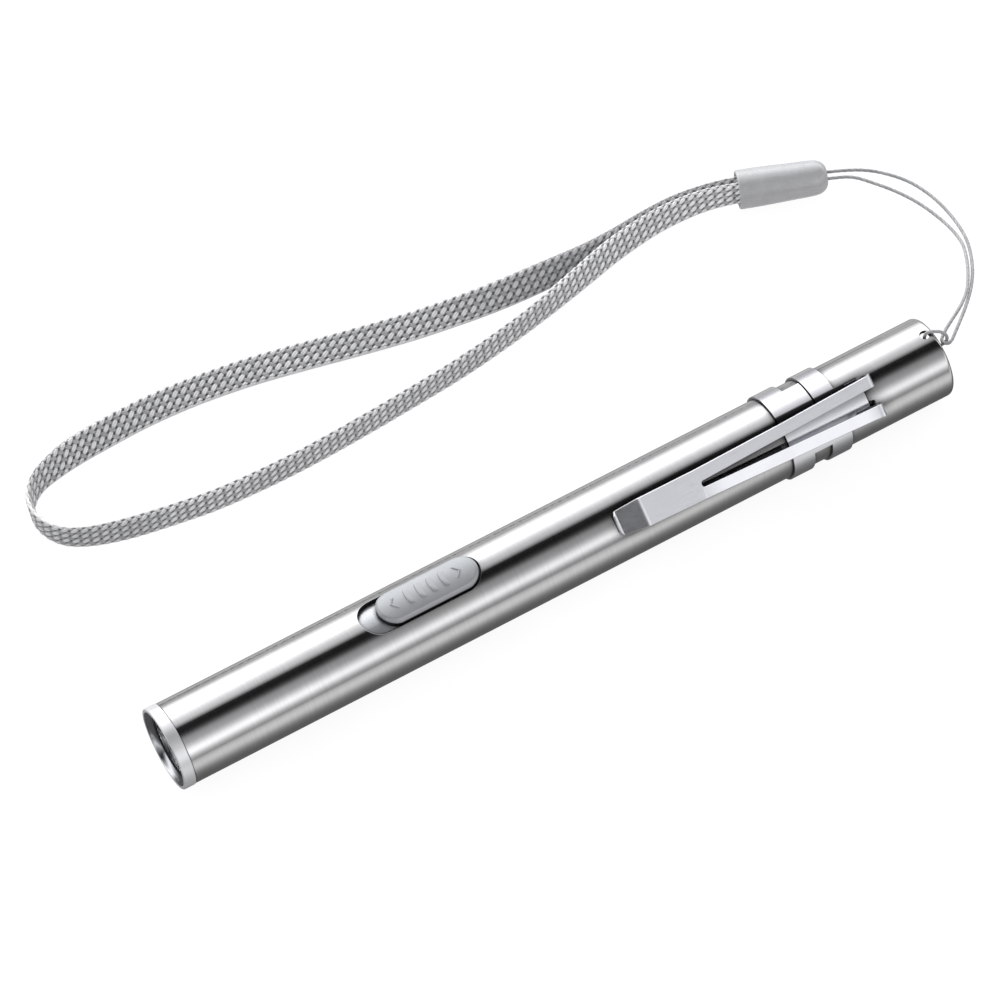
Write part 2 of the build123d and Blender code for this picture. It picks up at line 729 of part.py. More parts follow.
def cord_crimp():
    with BuildPart() as piece:
        with BuildSketch(Plane(origin=sleeve_point(5.2, 0), x_dir=SLEEVE_ACROSS, z_dir=SLEEVE_DIR)):
            RectangleRounded(3.0, 2.6, 0.6)
        extrude(amount=3.75)
    return piece.part


# ---------------------------------------------------------------- wrist strap
STRAP_Z0, STRAP_H, STRAP_T = -6.45, 4.9, 1.2
# centre line in plan: (x, y), out from the sleeve and back into it
STRAP_LINE = [
    sleeve_point(4.9, -0.63)[:2], sleeve_point(1.5, -0.63)[:2],
    (131.5, 49.55), (126.0, 49.95), (119.5, 49.9), (112.0, 49.0), (103.0, 47.2), (95.0, 45.3),
    (84.0, 43.3), (69.0, 41.5), (56.0, 40.9), (43.0, 40.7), (31.0, 40.8), (21.0, 42.1),
    (12.0, 44.5), (6.0, 47.6), (3.3, 51.5), (3.6, 55.6), (7.0, 59.2), (13.0, 61.0),
    (21.0, 61.8), (30.0, 61.3), (42.0, 59.4), (56.0, 57.4), (70.0, 55.2), (84.0, 53.4),
    (97.0, 52.2), (108.0, 51.8), (117.0, 52.0), (125.0, 51.75), (131.2, 51.2),
    sleeve_point(1.5, 0.63)[:2], sleeve_point(4.9, 0.63)[:2],
]


def shifted(points, shift):
    """Points moved to the left of their line of travel, square to their neighbours' chord."""
    moved = []
    for i, (x, y) in enumerate(points):
        before = points[max(i - 1, 0)]
        after = points[min(i + 1, len(points) - 1)]
        run_x, run_y = after[0] - before[0], after[1] - before[1]
        chord = math.hypot(run_x, run_y)
        moved.append((x - run_y / chord * shift, y + run_x / chord * shift))
    return moved


def wrist_strap():
    left = shifted(STRAP_LINE, STRAP_T / 2)
    right = shifted(STRAP_LINE, -STRAP_T / 2)
    with BuildPart() as piece:
        with BuildSketch(Plane.XY.offset(STRAP_Z0)):
            with BuildLine():
                Spline(*left)
                Line(left[-1], right[-1])
                Spline(*right)
                Line(right[0], left[0])
            make_face()
        extrude(amount=STRAP_H)
    return piece.part


# ---------------------------------------------------------------- export
PIECES = (
    bezel_ring, lens_gasket, lens_window, reflector, led_emitter, led_board, pill_holder,
    lead_wire_red, lead_wire_black,
    switch_carrier, driver_board, driver_chip, fixed_contacts, slot_bed, slide_button,
    slider_shoe, moving_contact, detent_spring,
    front_contact_plate, battery_cell, battery_sleeve, cell_spring, rear_contact_plate,
    charge_board, charge_chip, usb_receptacle, tail_insert, barrel_tube,
    clip_base, clip_arm, cord_hitch, cord_loop, strap_sleeve, cord_crimp, wrist_strap,
)

os.makedirs("parts", exist_ok=True)
for build in PIECES:
    solid = build()
    solid.label = build.__name__
    export_step(solid, f"parts/{solid.label}.step")
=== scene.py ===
"""A slim steel pocket torch with a clip, a cord and a braided wrist strap, lying on white paper.

The barrel lies along X about the origin: head at x = 0, tail rim at high X. +Z is up, and the
camera looks from -Y, the near side. The strap loop lies beyond the barrel, towards +Y.
Sizes are in millimetres unless said otherwise; MM turns them into metres.
"""
import bmesh
import bpy
import json
import math
import numpy as np
from mathutils import Matrix, Vector

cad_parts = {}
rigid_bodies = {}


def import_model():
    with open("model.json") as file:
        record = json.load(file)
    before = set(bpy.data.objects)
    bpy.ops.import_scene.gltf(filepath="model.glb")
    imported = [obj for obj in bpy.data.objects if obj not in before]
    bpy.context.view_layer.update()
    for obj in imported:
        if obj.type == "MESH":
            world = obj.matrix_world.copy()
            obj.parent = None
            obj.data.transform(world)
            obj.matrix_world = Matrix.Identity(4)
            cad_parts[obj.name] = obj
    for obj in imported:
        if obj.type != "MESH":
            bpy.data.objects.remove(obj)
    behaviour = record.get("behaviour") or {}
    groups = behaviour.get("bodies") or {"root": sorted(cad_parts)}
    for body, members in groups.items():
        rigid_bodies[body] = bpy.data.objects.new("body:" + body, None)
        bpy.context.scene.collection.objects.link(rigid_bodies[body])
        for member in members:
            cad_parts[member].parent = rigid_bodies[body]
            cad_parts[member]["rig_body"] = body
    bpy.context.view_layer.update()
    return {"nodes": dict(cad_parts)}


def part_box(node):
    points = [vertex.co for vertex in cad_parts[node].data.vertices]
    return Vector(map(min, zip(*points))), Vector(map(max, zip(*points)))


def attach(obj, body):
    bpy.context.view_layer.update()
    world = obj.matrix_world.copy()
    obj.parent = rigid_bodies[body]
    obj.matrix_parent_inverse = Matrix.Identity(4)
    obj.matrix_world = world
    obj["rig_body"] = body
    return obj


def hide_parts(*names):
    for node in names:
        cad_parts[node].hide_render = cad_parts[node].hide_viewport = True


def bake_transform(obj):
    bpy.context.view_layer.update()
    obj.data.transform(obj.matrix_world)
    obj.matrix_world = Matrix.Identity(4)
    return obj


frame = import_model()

MM = 0.001


# ------------------------------------------------------------------ sizes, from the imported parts
def box_mm(part):
    low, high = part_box(part)
    return np.array(low) * 1000.0, np.array(high) * 1000.0


tube_low, tube_high = box_mm("barrel_tube")
HEAD_X, TAIL_X = float(tube_low[0]), float(tube_high[0])  # ends of the tube
TUBE_R = round(float(tube_high[1]), 2)
BORE_R = TUBE_R - 0.65
BEZEL_R = round(float(box_mm("bezel_ring")[1][1]), 2)
button_low, button_high = box_mm("slide_button")
BUTTON_X0, BUTTON_X1 = float(button_low[0]), float(button_high[0])
BUTTON_R = float(button_high[1])  # half width, and radius of the round ends
BUTTON_X = (BUTTON_X0 + BUTTON_X1) / 2
arm_low, arm_high = box_mm("clip_arm")
TIP_X, BEND_X = float(arm_low[0]) + 0.1, float(arm_high[0])
CLIP_TURN = math.radians(41.0)  # the clip sits this far round from the top, towards -Y
CLIP_UP = np.array([0, -math.sin(CLIP_TURN), math.cos(CLIP_TURN)])
CLIP_SIDE = np.array([0, math.cos(CLIP_TURN), math.sin(CLIP_TURN)])
FLOOR_Z = float(min(box_mm("clip_base")[0][2], -7.48)) - 0.04

# ------------------------------------------------------------------ shader node helpers
MATERIALS = {}
# noise values that remaps stretch to a full range
NARROW, MID, WIDE = (0.36, 0.64), (0.35, 0.65), (0.3, 0.7)
# near-black colour for painted shade in gaps and under the clip arm
PAINTED_SHADE_DARK = (0.012, 0.012, 0.014)


class Net:
    """A node tree with short ways to add nodes; values may be numbers, sockets or nodes."""

    def __init__(self, owner, output):
        owner.use_nodes = True
        self.tree = owner.node_tree
        self.tree.nodes.clear()
        self.output = self.node(output)

    def node(self, kind, inputs=None, **props):
        made = self.tree.nodes.new("ShaderNode" + kind)
        for key, value in props.items():
            setattr(made, key, value)
        for key, value in (inputs or {}).items():
            self.feed(made.inputs[key], value)
        return made

    def feed(self, socket, value):
        if isinstance(value, bpy.types.Node):
            value = value.outputs[0]
        if isinstance(value, bpy.types.NodeSocket):
            self.tree.links.new(value, socket)
        elif socket.type == "RGBA" and len(value) == 3:
            socket.default_value = (*value, 1.0)
        else:
            socket.default_value = value

    def surface(self, shader):
        self.feed(self.output.inputs["Surface"], shader)

    def coords(self, scale=1, offset=(0, 0, 0)):
        """Object coordinates in millimetres times scale."""
        if not isinstance(scale, tuple):
            scale = (scale,) * 3
        place = self.node("TexCoord").outputs["Object"]
        return self.node("Mapping", {"Vector": place, "Location": offset,
                                     "Scale": tuple(1000.0 * s for s in scale)}).outputs["Vector"]

    def noise(self, scale, detail=3.0, rough=0.55, offset=(0, 0, 0)):
        return self.node("TexNoise", {"Vector": self.coords(scale, offset), "Scale": 1.0,
                                      "Detail": detail, "Roughness": rough}).outputs["Fac"]

    def remap(self, value, source, to=(0.0, 1.0)):
        return self.node("MapRange", {"Value": value, "From Min": source[0], "From Max": source[1],
                                      "To Min": to[0], "To Max": to[1]}).outputs["Result"]

    def calc(self, operation, *values):
        return self.node("Math", dict(enumerate(values)), operation=operation).outputs[0]

    def add(self, first, second):
        return self.calc("ADD", first, second)

    def mul(self, first, second):
        return self.calc("MULTIPLY", first, second)

    def weighted(self, first, *rest):
        """Sum of (value, weight) pairs."""
        term = self.mul(*first)
        return self.add(term, self.weighted(*rest)) if rest else term

    def mix(self, factor, first, second):
        return self.node("Mix", {0: factor, 6: first, 7: second}, data_type="RGBA").outputs[2]

    def ramp(self, factor, stops):
        """Colour ramp through (position, colour) stops; the first is at 0, the last at 1."""
        made = self.node("ValToRGB", {"Fac": factor})
        elements = made.color_ramp.elements
        for element, (position, colour) in zip(elements, (stops[0], stops[-1])):
            element.position, element.color = position, (*colour, 1)
        for position, colour in stops[1:-1]:
            elements.new(position).color = (*colour, 1)
        return made.outputs[0]

    def bump(self, height, relief, strength=1.0):
        return self.node("Bump", {"Height": height, "Distance": relief * MM,
                                  "Strength": strength}).outputs["Normal"]

    def attribute(self, name):
        return self.node("Attribute", attribute_name=name).outputs["Fac"]

    def xyz(self, vector):
        return self.node("SeparateXYZ", {"Vector": vector}).outputs

    def painted_contact_shade(self, colour, reach, strength, openness=(0.45, 0.95)):
        """Painted shade: colour darkened by ambient occlusion where another surface comes within
        reach.
        """
        near = self.node("AmbientOcclusion", {"Distance": reach * MM}, samples=5).outputs["AO"]
        shade = self.remap(near, openness, to=(strength, 0.0))
        return self.mix(shade, colour, (0.01, 0.01, 0.012))

    def principled(self, colour, roughness, normal, more=None):
        return self.node("BsdfPrincipled", {"Base Color": colour, "Roughness": roughness,
                                            "Normal": normal, **(more or {})})


def material(name):
    MATERIALS[name] = bpy.data.materials.new(name)
    return Net(MATERIALS[name], "OutputMaterial")


def tones(base, contrast, lift):
    """A darker and a lighter tone of base; lift is the lighter one's share of the contrast."""
    return (tuple(c * (1 - contrast) for c in base),
            tuple(min(1.0, c * (1 + contrast * lift)) for c in base))


# ------------------------------------------------------------------ materials
def finish(name, base, dark, rough, relief, grain=6, metallic=0.0, blotch=0.25, coat=0.0,
           gap=None):
    """Fine grain in bump and roughness, slow blotches in colour; gap is a pair of radii from
    the barrel axis, with painted shade inside the first, for the shadowed gap round the slide
    button."""
    net = material(name)
    fine = net.noise(grain, 4.0, 0.6)
    slow = net.noise(blotch, 3.0, 0.5)
    colour = net.mix(net.remap(net.weighted((fine, 0.55), (slow, 0.45)), NARROW), dark, base)
    # painted shade: dark below the first radius, in the gap between the button and the slot
    if gap:
        place = net.xyz(net.coords())
        squares = [net.mul(place[axis], place[axis]) for axis in "YZ"]
        radius = net.calc("SQRT", net.add(*squares))
        colour = net.mix(net.remap(radius, gap, to=(1.0, 0.0)), colour, PAINTED_SHADE_DARK)
    roughness = net.remap(net.weighted((fine, 0.7), (slow, 0.3)), WIDE, to=rough)
    net.surface(net.principled(colour, roughness, net.bump(fine, relief), {
        "Metallic": metallic, "IOR": 1.48, "Coat Weight": coat, "Coat Roughness": 0.12}))


def satin(name, base, handled, rough=(0.28, 0.4), metallic=0.75, relief=0.003, grain=5,
          lines=(0.4, 3.2, 3.2), contrast=0.08, painted_gap_shade=False, painted_arm_shadow=False):
    """Satin metal: short fine lines, faint marks from handling; where asked, painted shade near
    other parts and a painted shadow of the clip arm.
    """
    net = material(name)
    grains = net.noise(grain, 4.0, 0.6)
    scratches = net.noise(lines, 4.0, 0.65, offset=(1.7, 0, 0))
    marks = net.noise((0.22, 0.3, 0.3), 2.0, 0.5)
    total = net.weighted((grains, 0.35), (scratches, 0.4), (marks, 0.25))
    colour = net.mix(net.remap(total, NARROW), *tones(base, contrast, lift=0.5))
    colour = net.mix(net.remap(marks, (0.42, 0.68), to=(0.0, 0.5)), colour, handled)
    # painted shade where other parts come close
    if painted_gap_shade:
        colour = net.painted_contact_shade(colour, reach=0.7, strength=0.9)
    if painted_arm_shadow:
        # painted shadow of the arm: a dark line round the barrel's bands, along the arm's upper
        # edge; angles in radians
        place = net.xyz(net.coords())
        angle = net.calc("ARCTAN2", place["Y"], place["Z"])
        line = net.mul(net.remap(angle, (-0.34, -0.32), to=(0.0, 0.95)),
                       net.remap(angle, (-0.20, -0.165), to=(1.0, 0.0)))
        colour = net.mix(line, colour, PAINTED_SHADE_DARK)
    height = net.weighted((grains, 0.5), (scratches, 0.5))
    net.surface(net.principled(colour, net.remap(total, (0.34, 0.66), to=rough),
                               net.bump(height, relief), {"Metallic": metallic}))


def stainless_tube():
    """Stainless steel brushed round the X axis."""
    net = material("stainless_tube")
    along, around = 2.6, 0.10  # streaks per mm
    fine = net.noise((along, around, around), 5.0, 0.72)
    wide = net.noise((along * 0.16, around * 0.6, around * 0.6), 2.0, 0.5, offset=(3.1, 0, 0))
    hair = net.noise((along * 5.0, around * 1.4, around * 1.4), 2.0, 0.5)
    smudge = net.noise((0.07, 0.16, 0.16), 3.0, 0.55, offset=(0.4, 2.0, 0.1))
    streaks = net.weighted((fine, 0.5), (wide, 0.25), (hair, 0.25))
    colour = net.mix(net.remap(streaks, NARROW),
                     *tones((0.705, 0.70, 0.70), contrast=0.065, lift=0.6))
    colour = net.mix(net.remap(smudge, (0.45, 0.7), to=(0.0, 0.35)), colour, (0.62, 0.615, 0.615))
    roughness = net.remap(net.weighted((streaks, 0.75), (smudge, 0.25)), NARROW, to=(0.05, 0.11))
    # painted shade where the clip, the button and the bands come close
    colour = net.painted_contact_shade(colour, reach=3.2, strength=0.95, openness=(0.60, 0.93))
    net.surface(net.principled(
        colour, roughness, net.bump(net.weighted((fine, 0.6), (hair, 0.4)), relief=0.0006),
        {"Metallic": 1.0, "Anisotropic": 0.3,
         "Tangent": net.node("Tangent", direction_type="RADIAL", axis="X")}))


def green_board():
    """Circuit board: lacquered green with a brick pattern of tracks."""
    net = material("green_board")
    tracks = net.node("TexBrick", {
        "Vector": net.coords(), "Scale": 0.55, "Mortar Size": 0.06, "Mortar Smooth": 0.05,
        "Brick Width": 1.4, "Row Height": 0.45, "Color1": (0, 0, 0), "Color2": (0, 0, 0),
        "Mortar": (1, 1, 1)}).outputs["Fac"]
    fine = net.noise(8)
    base = net.mix(net.remap(fine, MID), (0.012, 0.10, 0.045), (0.02, 0.15, 0.065))
    net.surface(net.principled(
        net.mix(tracks, base, (0.06, 0.27, 0.12)), net.remap(fine, WIDE, to=(0.22, 0.36)),
        net.bump(tracks, relief=0.02), {"Coat Weight": 0.3}))


def speckled(name, grain, dark, light, rough, more):
    """One noise drives colour, roughness and bump."""
    net = material(name)
    fine = net.noise(grain)
    net.surface(net.principled(net.mix(net.remap(fine, MID), dark, light),
                               net.remap(fine, WIDE, to=rough), net.bump(fine, relief=0.004),
                               more))


def clear_lens():
    """Clear window that lets shadow and diffuse rays straight through."""
    net = material("clear_lens")
    fine = net.noise(2)
    glass = net.principled((0.97, 0.985, 0.99), net.remap(fine, MID, to=(0.0, 0.03)),
                           net.bump(fine, relief=0.0006),
                           {"Transmission Weight": 1.0, "IOR": 1.46})
    through = net.node("BsdfTransparent", {"Color": (0.95, 0.965, 0.97)})
    rays = net.node("LightPath").outputs
    passing = net.calc("MAXIMUM", rays["Is Shadow Ray"], rays["Is Diffuse Ray"])
    net.surface(net.node("MixShader", {0: passing, 1: glass, 2: through}))


def sleeve_plastic():
    """Grey, slightly translucent moulding."""
    net = material("sleeve_plastic")
    fine = net.noise(7)
    slow = net.noise(0.5, 2.0)
    colour = net.mix(net.remap(slow, MID), (0.455, 0.46, 0.475), (0.495, 0.50, 0.515))
    net.surface(net.principled(
        colour, net.remap(fine, WIDE, to=(0.22, 0.32)), net.bump(fine, relief=0.001),
        {"Subsurface Weight": 0.15, "Subsurface Radius": (1.0, 1.0, 1.0),
         "Subsurface Scale": 0.8 * MM, "Coat Weight": 0.6, "Coat Roughness": 0.14,
         "Specular IOR Level": 0.75}))


def strap_braid():
    """Flat braid: bundles of one slant bright with painted sheen, the other slant grey, painted
    shade in the gaps between.

    Mesh attributes: lift is 0 in the gaps and 1 on the bundles, fil runs -1 to 1 across a bundle,
    lot is a random number per bundle, tone tells bundles with painted sheen from grey, hem and crest
    mark the lower and upper edge, the crest with a painted highlight, shade is painted shade that
    darkens (or, below 0, brightens with painted glow) stretches.
    """
    net = material("strap_braid")
    lift, fil, lot, hem, tone, crest, shade = (
        net.attribute(name) for name in ("lift", "fil", "lot", "hem", "tone", "crest", "shade"))
    wave = net.calc("SINE", net.mul(fil, 12.5))
    groove = net.remap(net.calc("ABSOLUTE", fil), (0.0, 0.22), to=(1.0, 0.0))
    fuzz = net.noise(9)
    slow = net.noise(0.25, 2.0)
    raised = net.remap(lift, (0.18, 0.88))
    vary = net.remap(net.add(lot, net.mul(fuzz, 0.6)), (0.2, 1.4))
    # bundles: two tones, the bright one a painted sheen, fine threads, a split along the middle in
    # painted shade
    light = net.mix(vary, (0.82, 0.825, 0.84), (1.0, 1.0, 1.0))
    grey = net.mix(vary, (0.40, 0.405, 0.42), (0.60, 0.605, 0.62))
    bundle = net.mix(tone, grey, light)
    bundle = net.mix(net.remap(wave, (-1, 1), to=(0.16, 0.0)), bundle, (0.25, 0.255, 0.27))
    bundle = net.mix(net.mul(groove, 0.48), bundle, (0.12, 0.125, 0.135))
    # painted shade in the gaps, the hem, stains, then painted shade by stretch
    colour = net.mix(raised, (0.085, 0.088, 0.095), bundle)
    colour = net.mix(hem, colour, net.mix(vary, (0.60, 0.605, 0.62), (0.68, 0.685, 0.70)))
    colour = net.mix(net.remap(slow, (0.4, 0.7), to=(0, 0.15)), colour, (0.36, 0.365, 0.38))
    colour = net.mix(net.mul(shade, 0.50), colour, (0.13, 0.135, 0.145))
    # painted highlight along the smooth upper edge over the bend
    colour = net.mix(net.mul(crest, 0.8), colour, (0.9, 0.905, 0.91))
    # painted glow: the yarn emits a little light, more on bundles with painted sheen and where shade
    # is below 0
    glow = net.add(net.mul(net.mul(tone, raised), 0.10), 0.05)
    bright = net.calc("MAXIMUM", net.mul(shade, -1.0), 0.0)
    glow = net.add(glow, net.mul(bright, 0.11))
    height = net.weighted((wave, 0.35), (fuzz, 0.65))
    net.surface(net.principled(
        colour, net.remap(fuzz, WIDE, to=(0.27, 0.42)),
        net.bump(height, relief=0.025, strength=0.8),
        {"Sheen Weight": 0.35, "Sheen Roughness": 0.35, "Specular IOR Level": 1.0,
         "Emission Color": colour, "Emission Strength": glow}))


def cord_thread():
    """Twisted grey thread, with painted shade in its grooves and pale fibres."""
    net = material("cord_thread")
    groove = net.attribute("groove")
    fuzz = net.noise(14)
    slow = net.noise(0.6, 2.0)
    colour = net.mix(net.remap(slow, MID), (0.30, 0.305, 0.315), (0.42, 0.425, 0.435))
    # painted shade in the grooves between the strands
    colour = net.mix(net.remap(groove, (0.25, 0.98), to=(0, 0.75)), colour, (0.22, 0.222, 0.23))
    colour = net.mix(net.remap(fuzz, (0.5, 0.75), to=(0, 0.5)), colour, (0.85, 0.855, 0.86))
    net.surface(net.principled(colour, net.remap(fuzz, WIDE, to=(0.4, 0.6)),
                               net.bump(fuzz, relief=0.015, strength=0.8),
                               {"Sheen Weight": 0.2}))


# the clip's steel takes painted shade where other parts come close
CLIP_FINISH = dict(rough=(0.17, 0.27), metallic=1.0, contrast=0.06, relief=0.0014, painted_gap_shade=True)

stainless_tube()
satin("satin_bezel", (0.86, 0.87, 0.885), (0.78, 0.785, 0.80), rough=(0.26, 0.36),
      metallic=0.55, contrast=0.05, relief=0.002)
satin("clip_steel", (0.80, 0.812, 0.84), (0.725, 0.735, 0.765), **CLIP_FINISH)
# the clip base also takes the painted shadow of the arm on its bands
satin("clip_base_steel", (0.84, 0.85, 0.875), (0.76, 0.765, 0.795), painted_arm_shadow=True, **CLIP_FINISH)
# painted shade in the gap round the button's sides
finish("grey_button", (0.42, 0.435, 0.45), (0.37, 0.38, 0.40), rough=(0.28, 0.40),
       relief=0.006, grain=9, metallic=0.3, blotch=0.3, gap=(7.02, 7.24))
# the slot bed takes painted shade where other parts come close
satin("grey_plastic", (0.53, 0.545, 0.565), (0.48, 0.495, 0.515), rough=(0.24, 0.33),
      metallic=0.6, relief=0.0002, grain=7, lines=3, contrast=0.03, painted_gap_shade=True)
# the bezel's bore takes painted shade where other parts come close
satin("bezel_bore", (0.50, 0.51, 0.53), (0.42, 0.43, 0.45), rough=(0.14, 0.24),
      metallic=1.0, contrast=0.05, relief=0.001, painted_gap_shade=True)
# near-black painted shade for the walls of the slots in the tube and the clip arm
finish("painted_shade_wall", (0.035, 0.035, 0.038), (0.02, 0.02, 0.022), rough=(0.4, 0.6), relief=0.004)
finish("carrier_plastic", (0.045, 0.045, 0.05), (0.03, 0.03, 0.034), rough=(0.35, 0.5),
       relief=0.006)
finish("tail_plastic", (0.05, 0.05, 0.055), (0.033, 0.033, 0.037), rough=(0.32, 0.5),
       relief=0.008, grain=7)
finish("black_rubber", (0.03, 0.03, 0.032), (0.018, 0.018, 0.02), rough=(0.55, 0.75),
       relief=0.01, grain=10)
finish("sleeve_insulator", (0.62, 0.62, 0.60), (0.54, 0.54, 0.52), rough=(0.3, 0.45),
       relief=0.004, grain=(1.2, 6, 6))
finish("cell_wrap", (0.10, 0.22, 0.42), (0.06, 0.15, 0.32), rough=(0.16, 0.3),
       relief=0.004, grain=3, coat=0.4)
satin("brass", (0.80, 0.62, 0.30), (0.70, 0.52, 0.24), rough=(0.22, 0.34), metallic=1.0)
satin("contact_brass", (0.84, 0.68, 0.38), (0.74, 0.56, 0.30), rough=(0.2, 0.32),
      metallic=1.0, lines=(3.2, 0.5, 0.5))
satin("spring_steel", (0.62, 0.62, 0.63), (0.52, 0.52, 0.54), rough=(0.2, 0.32),
      metallic=1.0, lines=3)
satin("port_steel", (0.72, 0.72, 0.73), (0.60, 0.60, 0.62), rough=(0.18, 0.3), metallic=1.0)
satin("aluminium_board", (0.80, 0.80, 0.81), (0.7, 0.7, 0.72), rough=(0.3, 0.45), metallic=0.9)
finish("chip_black", (0.04, 0.04, 0.043), (0.025, 0.025, 0.027), rough=(0.4, 0.6),
       relief=0.008, grain=14)
finish("red_wire", (0.55, 0.03, 0.025), (0.40, 0.02, 0.018), rough=(0.3, 0.42), relief=0.004)
finish("black_wire", (0.03, 0.03, 0.03), (0.018, 0.018, 0.018), rough=(0.3, 0.42), relief=0.004)
green_board()
speckled("led_phosphor", grain=5, dark=(0.62, 0.55, 0.22), light=(0.74, 0.66, 0.30),
         rough=(0.12, 0.22), more={"Coat Weight": 0.8, "Coat Roughness": 0.05})
speckled("reflector_chrome", grain=3, dark=(0.50, 0.51, 0.53), light=(0.56, 0.57, 0.58),
         rough=(0.05, 0.12), more={"Metallic": 1.0})
clear_lens()
sleeve_plastic()
strap_braid()
cord_thread()


# ------------------------------------------------------------------ mesh helpers
def unit(vectors):
    return vectors / np.linalg.norm(vectors, axis=1, keepdims=True)


def link_object(name, data):
    obj = bpy.data.objects.new(name, data)
    bpy.context.scene.collection.objects.link(obj)
    return obj


def shade_smooth(mesh):
    mesh.polygons.foreach_set("use_smooth", np.ones(len(mesh.polygons), bool))


class Shell:
    """Quads in mm, each corner with its own normal; welded into one mesh at the end."""

    def __init__(self):
        self.quads, self.normals = [], []

    def grid(self, points, normals, wrap=False, mask=None):
        points = np.asarray(points, float)
        normals = np.broadcast_to(np.asarray(normals, float), np.shape(points))
        for rows, store in ((points, self.quads), (normals, self.normals)):
            if wrap:
                rows = np.concatenate([rows, rows[:, :1]], 1)
            quads = np.stack([rows[:-1, :-1], rows[1:, :-1], rows[1:, 1:], rows[:-1, 1:]], 2)
            if mask is not None:
                quads = quads[mask]
            store.append(quads.reshape(-1, 4, 3))

    def transform(self, origin, *axes):
        turn = np.array(axes, float)
        self.quads = [q @ turn + np.array(origin, float) for q in self.quads]
        self.normals = [n @ turn for n in self.normals]

    def object(self, name):
        quads, normals = np.concatenate(self.quads), np.concatenate(self.normals)
        facing = np.cross(quads[:, 2] - quads[:, 0], quads[:, 3] - quads[:, 1])
        flip = (facing * normals.sum(1)).sum(1) < 0
        quads[flip], normals[flip] = quads[flip][:, ::-1].copy(), normals[flip][:, ::-1].copy()
        # corners that round to the same place become one vertex; the shift keeps tidy
        # numbers away from the rounding edge
        corners = quads.reshape(-1, 3)
        key = np.round(corners * 2000.0 + 0.137).astype(np.int64)
        _, first, inverse = np.unique(key, axis=0, return_index=True, return_inverse=True)
        faces, loops = [], []
        for face, normal in zip(np.asarray(inverse).reshape(-1, 4).tolist(), normals):
            keep = [i for i in range(4) if face[i] != face[i - 1]]
            if len(keep) < 3 or len({face[i] for i in keep}) < 3:
                continue
            faces.append([face[i] for i in keep])
            loops.extend(normal[i] for i in keep)
        mesh = bpy.data.meshes.new(name)
        mesh.from_pydata((corners[first] * MM).tolist(), [], faces)
        shade_smooth(mesh)
        loops = np.array(loops)
        loops /= np.maximum(np.linalg.norm(loops, axis=1, keepdims=True), 1e-9)
        mesh.normals_split_custom_set(loops.tolist())
        mesh.update()
        return link_object(name, mesh)


def catmull(points, per):
    """Centripetal Catmull-Rom curve through the points, per steps to a span."""
    points = np.asarray(points, float)
    padded = np.vstack([2 * points[0] - points[1], points, 2 * points[-1] - points[-2]])
    part = np.linspace(0, 1, per, endpoint=False)[:, None]
    out = []
    for before, start, end, after in zip(padded, padded[1:], padded[2:], padded[3:]):
        gap_in, gap, gap_out = (
            max(np.linalg.norm(b - a), 1e-9) ** 0.5
            for a, b in ((before, start), (start, end), (end, after)))
        leave = (start - before) / gap_in - (end - before) / (gap_in + gap) + (end - start) / gap
        arrive = (end - start) / gap - (after - start) / (gap + gap_out) + (after - end) / gap_out
        leave, arrive = leave * gap, arrive * gap
        out.append((2 * part**3 - 3 * part**2 + 1) * start + (part**3 - 2 * part**2 + part) * leave
                   + (-2 * part**3 + 3 * part**2) * end + (part**3 - part**2) * arrive)
    out.append(points[-1:])
    return np.vstack(out)


def resample(points, step):
    """Even points along a polyline, and their distances from its start."""
    known = np.r_[0, np.cumsum(np.linalg.norm(np.diff(points, axis=0), axis=1))]
    dist = np.linspace(0, known[-1], max(2, int(round(known[-1] / step)) + 1))
    return np.stack([np.interp(dist, known, column) for column in points.T], 1), dist


def blur(values, sigma):
    """Gaussian smoothing along the first axis, in samples, keeping both ends."""
    reach = int(3 * sigma) + 1
    kernel = np.exp(-0.5 * (np.arange(-reach, reach + 1) / sigma) ** 2)
    kernel /= kernel.sum()
    table = values if values.ndim > 1 else values[:, None]
    padded = np.vstack([2 * table[0] - table[reach:0:-1], table,
                        2 * table[-1] - table[-2:-reach - 2:-1]])
    out = np.stack([np.convolve(column, kernel, "valid") for column in padded.T], 1)
    return out if values.ndim > 1 else out[:, 0]


# Runs of (x, r) points for turned parts, as (points, normals); no normals means flat segments.
def arc(x, r, radius, start, end, steps):
    angles = np.radians(np.linspace(start, end, steps + 1))
    normals = np.stack([np.cos(angles), np.sin(angles)], 1)
    return np.array([x, r]) + radius * normals, normals


def run(*points):
    return np.array(points, float), None


def smooth_run(points, per):
    """A curved run through points, with normals from its own tangent."""
    curve = catmull(points, per)
    tangent = np.gradient(curve, axis=0)
    tangent[0] = (-3 * curve[0] + 4 * curve[1] - curve[2]) / 2
    tangent[-1] = (3 * curve[-1] - 4 * curve[-2] + curve[-3]) / 2
    return curve, unit(tangent)[:, ::-1] * np.array([1, -1])


def turned(rows, angles):
    """(x, r) rows carried round the X axis; angle 0 is +Z, a quarter turn is +Y."""
    x, r = rows[:, :1], rows[:, 1:]
    return np.stack(np.broadcast_arrays(x, r * np.sin(angles), r * np.cos(angles)), -1)


